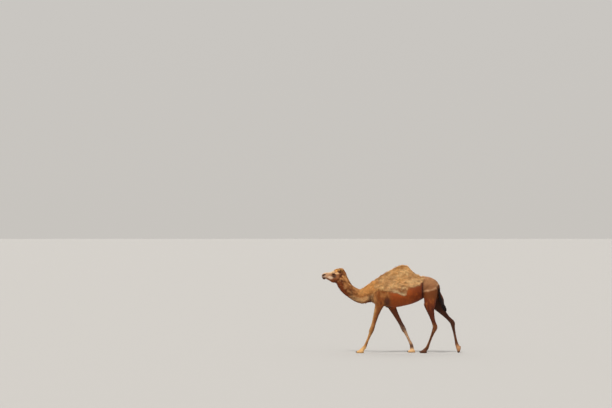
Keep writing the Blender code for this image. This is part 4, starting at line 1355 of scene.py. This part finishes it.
def eye_surface():
    """A wet eyeball: near-black brown iris with a level oblong pupil, under a clear smooth cornea."""
    made, tree = material("wet_eye", Roughness=0.05, IOR=1.376, Specular_IOR_Level=0.35)
    place = node(tree, "ShaderNodeAttribute", attribute_name="Gaze")
    parts = node(tree, "ShaderNodeSeparateXYZ", [(0, place.outputs["Vector"])])
    tone = node(tree, "ShaderNodeValToRGB", [("Fac", parts.outputs["Z"])])
    # Pupil, iris, its dark rim, and the brown white of the eye.
    set_stops(tone, (0.20, "#030201"), (0.24, "#2C180B"), (0.46, "#3A210F"), (0.56, "#100805"),
              (0.70, "#2A1C14"), (1.0, "#5E4A3C"))
    # The iris has fine folds, drawn 1.5 mm apart.
    folds = node(tree, "ShaderNodeTexNoise", [("Vector", place.outputs["Vector"])], Scale=11.0, Detail=4.0)
    light = node(tree, "ShaderNodeMapRange", [("Value", folds.outputs[0])], To_Min=0.70, To_Max=1.30,
                 **NOISE_SPAN)
    shaded = node(tree, "ShaderNodeVectorMath", [(0, tone.outputs[0]), (1, light.outputs[0])],
                  operation="MULTIPLY")
    return finished(made, shaded.outputs[0])


def horn():
    """Toe nail: worn dark horn with low growth ridges 3 mm apart."""
    made, tree = material("toe_horn", Roughness=0.46, IOR=1.55)
    place = node(tree, "ShaderNodeTexCoord")
    ridges = node(tree, "ShaderNodeTexWave", [("Vector", place.outputs["Object"])], Scale=1 / (9 * MM),
                  Distortion=1.2, Detail=2.0, bands_direction="Z")
    tone = node(tree, "ShaderNodeValToRGB", [("Fac", ridges.outputs["Fac"])])
    set_stops(tone, (0.0, "#32261D"), (1.0, "#3B2D23"))
    return finished(made, tone.outputs[0], ridges.outputs["Fac"], 0.12, 0.4 * MM)


def callus():
    """Thick bare skin, cracked into plates about 9 mm across."""
    made, tree = material("callus_skin", Roughness=0.82, IOR=1.45)
    place = node(tree, "ShaderNodeTexCoord")
    cracks = node(tree, "ShaderNodeTexVoronoi", [("Vector", place.outputs["Object"])], Scale=1 / (9 * MM),
                  feature="DISTANCE_TO_EDGE")
    tone = node(tree, "ShaderNodeValToRGB", [("Fac", cracks.outputs["Distance"])])
    set_stops(tone, (0.0, "#342219"), (0.12, "#533A2B"))
    return finished(made, tone.outputs[0], tone.outputs[0], 0.6, 1.0 * MM)


# ---------------------------------------------------------------- pieces
def dressed_skin():
    skin = make_skin()
    hide = Hide(skin)
    set_colour(skin.data, hide.colour)
    angle, distance = unwrap(hide.points, hide.part)
    nap = np.zeros((len(angle), 3), np.float32)
    nap[:, 0] = angle * 0.12
    nap[:, 1] = distance
    layer = skin.data.attributes.new("Nap", "FLOAT_VECTOR", "POINT")
    layer.data.foreach_set("vector", nap.ravel())
    skin.data.materials.clear()
    skin.data.materials.append(short_hair_hide())
    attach(skin, "root")
    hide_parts(*FLESH)
    return hide


def make_coat(hide):
    hair = wool_fibre()
    p = hide.points
    x, y, z = p.T
    on = {"left": (y < 0) * 1.0, "right": (y >= 0) * 1.0}
    trunk = hide.mask("trunk")
    neck = hide.mask("neck")
    head = hide.mask("head")
    tail = hide.mask("tail", "tail_tuft")
    fleece = hide.fleece
    # Length, width and lift in mm, then tufts on a square metre.
    shaggy = Coat(54, 3.5, 34, 36000, curl=13, gather=0.40, rings=2, spread=0.55, lean=6, shade=0.13,
                  clump=62, relief=0.30, root_shade=0.66)
    wool = Coat(46, 3.5, 29, 33000, curl=12, gather=0.40, rings=2, spread=0.50, lean=5, shade=0.13,
                clump=58, relief=0.30, root_shade=0.66)
    neck_wool = Coat(32, 3.3, 15, 25000, curl=7, gather=0.42, rings=2, spread=0.42, lean=3, shade=0.12,
                     clump=44, relief=0.30, root_shade=0.70)
    sleek = Coat(22, 2.4, 3.8, 25000, rings=0, spread=0.18, soft=0.84, crest=0.40, shade=0.17)
    leg_hair = Coat(16, 2.0, 2.8, 34000, rings=0, spread=0.16, soft=0.84, crest=0.40, shade=0.16)
    face = Coat(10, 1.15, 1.6, 88000, rings=0, spread=0.16, soft=0.88, shade=0.11, crest=0.4)
    topknot = Coat(36, 2.1, 22, 120000, curl=8, gather=0.35, rings=2, spread=0.5, lean=6, shade=0.12,
                   clump=34, relief=0.25, root_shade=0.68)
    tail_hair = Coat(95, 3.6, 18, 38000, curl=7, gather=0.4, rings=2, spread=0.16, lean=6, shade=0.15)
    ear_hair = Coat(13, 1.3, 3.2, 110000, rings=1, spread=0.3, soft=0.7, crest=0.5, shade=0.12)
    pieces = [grow("coat_hump", hide, hide.mask("hump"), shaggy, 1)]
    for side, half in on.items():
        pieces.append(grow("coat_fleece_" + side, hide, trunk * fleece * half, wool, 10 + len(pieces)))
        pieces.append(grow("coat_body_" + side, hide, trunk * (1 - fleece) * half, sleek, 10 + len(pieces)))
        nape = ramp(x, -0.80, -1.04)
        pieces.append(grow("coat_neck_" + side, hide, neck * half * (1 + 0.9 * nape), neck_wool,
                           10 + len(pieces), scale=1 - 0.32 * nape))
    for leg in LEGS:
        where, side = leg.split("_")
        names = ("forearm", "fore_shank", "fore_foot") if where == "fore" else (
            "thigh", "gaskin", "hind_shank", "hind_foot")
        mask = hide.mask(*(n + "_" + side for n in names)) * ramp(z, 0.012, 0.03)
        size = 0.45 + 0.55 * ramp(z, 0.05, 0.35)
        pieces.append(grow("coat_" + leg, hide, mask * (1 - hide.bare), leg_hair, 20 + len(pieces), size))
    crown = near(p, CROWN, CROWN_RADII)
    clear_of_eye = ramp(np.linalg.norm(mirrored(p) - np.array(EYE), axis=1), 0.022, 0.032)
    size = 0.45 + 0.55 * ramp(x - NOSE, 0.08, 0.24)
    size += 0.7 * ramp(z, EYE.z - 0.13, EYE.z - 0.18) * ramp(x - NOSE, 0.22, 0.30)
    mask = head * clear_of_eye * ramp(x - NOSE, 0.05, 0.08)
    pieces.append(grow("coat_face", hide, mask, face, 31, size))
    pieces.append(grow("coat_ears", hide, hide.mask("ear"), ear_hair, 34))
    pieces.append(grow("coat_crown", hide, head * ramp(crown, 0.2, 0.7), topknot, 32))
    pieces.append(grow("coat_tail", hide, tail, tail_hair, 33, scale=0.25 + 0.75 * ramp(z, 1.36, 1.18)))
    for piece in pieces:
        piece.data.materials.append(hair)
    make_lashes(hair)
    make_whiskers(hide, hair)


def lash_row(count, upper, rng):
    """Middle lines of the lashes on the right eye's upper or lower lid: roots and three more stations."""
    across = np.linspace(-0.92, 0.92, count) * OPENING + rng.normal(0, 0.012, count)
    high = lid_edges(across)[0] + 0.07 if upper else lid_edges(across)[1] - 0.07
    out = np.sqrt(np.clip(1 - across**2 - high**2, 0.05, 1))
    way = across[:, None] * FORE + high[:, None] * ABOVE + out[:, None] * GAZE
    root = np.array(EYE) + way * (EYE_RADIUS + 1.6 * MM)
    full = (16 if upper else 8) * MM * (1 - 0.45 * (across / OPENING) ** 2)
    full = (full * rng.uniform(0.8, 1.15, count))[:, None]
    fan = (0.55 * across + rng.normal(0, 0.08, count))[:, None] * FORE
    spine = [root]
    for t in (0.3, 0.65, 1.0):
        rise = (-0.78 * t + 0.20 * t * t) if upper else (-0.50 * t - 0.05 * t * t)
        spine.append(root + full * (GAZE * 0.58 * t + fan * t + ABOVE * rise))
    return spine


def make_lashes(hair):
    """Long dark lashes on the upper lid in two rows, and short ones on the lower lid."""
    lash = Coat(20, 0.9, 0, 0, rings=2, soft=0.6, crest=1.0, root_shade=0.9)
    rng = np.random.default_rng(41)
    for side, sign in SIDES.items():
        rows = [lash_row(30, True, rng), lash_row(26, True, rng), lash_row(22, False, rng)]
        spine = [np.concatenate([row[k] for row in rows]) * (1, sign, 1) for k in range(4)]
        count = len(spine[0])
        tops = [np.tile(ABOVE * (1, sign, 1), (count, 1))] * 4
        piece = tufts("lashes_" + side, lash, spine[0], np.full(count, HEAD), spine, tops,
                      rng.uniform(0.7, 1.0, count) * MM, np.tile(linear("#1C110B"), (count, 1)),
                      np.ones(count), rng.uniform(0, math.tau, count))
        piece.data.materials.append(hair)


def make_whiskers(hide, hair):
    """Stiff single hairs on lips and chin."""
    whisker = Coat(30, 0.55, 0, 2600, rings=2, soft=0.6, crest=1.0, root_shade=0.9)
    rng = np.random.default_rng(42)
    x, _, z = hide.points.T
    lips = hide.mask("head") * ramp(x - NOSE, 0.13, 0.09) * ramp(z, EYE.z - 0.045, EYE.z - 0.060)
    at = scattered(hide, lips, whisker.density, rng)[1]
    root, normal, flow = at(hide.points), unit(at(hide.normals)), unit(at(hide.flow))
    count = len(root)
    full = (rng.uniform(14, 34, count) * MM)[:, None]
    way = unit(normal * 0.8 + flow * 0.5 + rng.normal(0, 0.15, (count, 3)) - (0, 0, 0.25))
    spine = [root - normal * MM]
    spine += [root + full * (way * t - np.array((0, 0, 0.22)) * t * t) for t in (0.3, 0.65, 1.0)]
    piece = tufts("whiskers", whisker, root, np.full(count, HEAD), spine, [normal] * 4,
                  np.full(count, 0.55 * MM), np.tile(linear("#4A3524"), (count, 1)),
                  rng.uniform(0.7, 1.3, count), rng.uniform(0, math.tau, count))
    piece.data.materials.append(hair)


PUPIL_WAY = (-0.22, 0.97, 0.05)  # where the right pupil points
PUPIL = 0.24  # its size on the scale of the eye's surface, which runs to 1


def make_eyes():
    surface = eye_surface()
    for side, sign in SIDES.items():
        bm = bmesh.new()
        bmesh.ops.create_uvsphere(bm, u_segments=48, v_segments=32, radius=EYE_RADIUS)
        out = Vector((PUPIL_WAY[0], sign * PUPIL_WAY[1], PUPIL_WAY[2])).normalized()
        fore = out.cross(Vector((0, 0, 1))).normalized()
        up = fore.cross(out)
        gaze = []
        for v in bm.verts:
            d = v.co.normalized()
            across, high = d.dot(fore), d.dot(up)
            # The pupil lies level, so height counts for more near the middle.
            off_axis = math.acos(max(-1, min(1, d.dot(out)))) / (math.pi / 2)
            oblong = math.hypot(across * 0.62, high * 1.25)
            radial = oblong if oblong < PUPIL else max(off_axis, PUPIL)
            gaze.append((across, high, min(radial, 1.0)))
            bulge = max(0.0, 1 - (off_axis / 0.42) ** 2)
            v.co += out * 1.6 * MM * bulge
            v.co += EYES[side]
        mesh = mesh_of(bm, "eyeball_" + side)
        layer = mesh.attributes.new("Gaze", "FLOAT_VECTOR", "POINT")
        layer.data.foreach_set("vector", np.array(gaze, np.float32).ravel())
        mesh.shade_smooth()
        mesh.materials.append(surface)
        obj = linked("eyeball_" + side, mesh)
        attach(obj, "root")
        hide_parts("eye_" + side)


def rounded_copy(name, node_name, grain, passes):
    """A fine, smooth copy of a CAD node."""
    bm = bmesh.new()
    bm.from_mesh(NODES[node_name].data)
    bmesh.ops.remove_doubles(bm, verts=bm.verts, dist=0.02 * MM)
    obj = remeshed(linked(name, mesh_of(bm, name)), grain)
    smoothed(obj.data, passes, np.ones(len(obj.data.vertices)))
    obj.data.shade_smooth()
    obj.data.materials.clear()
    return obj


def make_nails():
    surface = horn()
    for leg in LEGS:
        for place in ("inner", "outer"):
            node_name = "nail_" + leg + "_" + place
            obj = rounded_copy(node_name.replace("nail", "toenail"), node_name, 1.3 * MM, 6)
            obj.data.materials.append(surface)
            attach(obj, "root")
            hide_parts(node_name)


def make_chest_pad():
    obj = rounded_copy("breast_callus", "chest_pad", 3.5 * MM, 8)
    obj.data.materials.append(callus())
    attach(obj, "root")
    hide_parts("chest_pad")


# ---------------------------------------------------------------- studio
def make_floor():
    bm = bmesh.new()
    bmesh.ops.create_circle(bm, cap_ends=True, segments=64, radius=6000)
    mesh = mesh_of(bm, "studio_floor")
    mesh.materials.append(material("pale_floor", Base_Color=rgba("#AFABA5"), Roughness=0.9)[0])
    floor = linked("studio_floor", mesh)


def make_light():
    """Soft light from above and a little from the front, and a pale room all round."""
    bpy.context.scene.view_settings.view_transform = "Standard"
    world = bpy.data.worlds.new("studio")
    world.use_nodes = True
    tree = world.node_tree
    way = node(tree, "ShaderNodeTexCoord")
    parts = node(tree, "ShaderNodeSeparateXYZ", [(0, way.outputs["Generated"])])
    tone = node(tree, "ShaderNodeValToRGB", [("Fac", parts.outputs["Z"])])
    set_stops(tone, (0.0, "#DCD8D2"), (1.0, "#F4F5F7"))
    back = tree.nodes["Background"]
    back.inputs["Strength"].default_value = 0.80
    tree.links.new(tone.outputs[0], back.inputs["Color"])
    bpy.context.scene.world = world
    # Each lamp's name, strength, spread and turn in degrees.
    for name, strength, angle, turn in (("key", 2.3, 14, (34, 0, -24)), ("fill", 0.5, 60, (72, 0, 30)),
                                        ("back_light", 0.6, 40, (-48, 0, 12))):
        sun = bpy.data.lights.new(name, "SUN")
        sun.energy = strength
        sun.angle = math.radians(angle)
        linked(name, sun).rotation_euler = [math.radians(v) for v in turn]


FRAME_WIDTH = 612
CAMEL_MIDDLE = 0.018  # x of the middle of its feet


def make_camera():
    """A long lens from 60 m away, nearly square to the camel's left side."""
    distance, height = 60.0, 2.52
    lens, sensor = 161.0, 36.0  # mm
    across = distance * sensor / lens  # width of the view at the camel
    # The camel stands right of the middle and low in the frame.
    aim_left, aim_up = across * 86 / FRAME_WIDTH, across * 33.7 / FRAME_WIDTH
    camera = bpy.data.cameras.new("camera")
    camera.lens, camera.sensor_width = lens, sensor
    camera.clip_end = 9000
    obj = linked("camera", camera)
    start = Vector((CAMEL_MIDDLE, -distance, height))
    aim = Vector((CAMEL_MIDDLE - aim_left, 0, height + aim_up))
    obj.location = start
    obj.rotation_euler = (aim - start).to_track_quat("-Z", "Y").to_euler()
    bpy.context.scene.camera = obj


hide = dressed_skin()
make_coat(hide)
make_eyes()
make_nails()
make_chest_pad()
make_floor()
make_light()
make_camera()
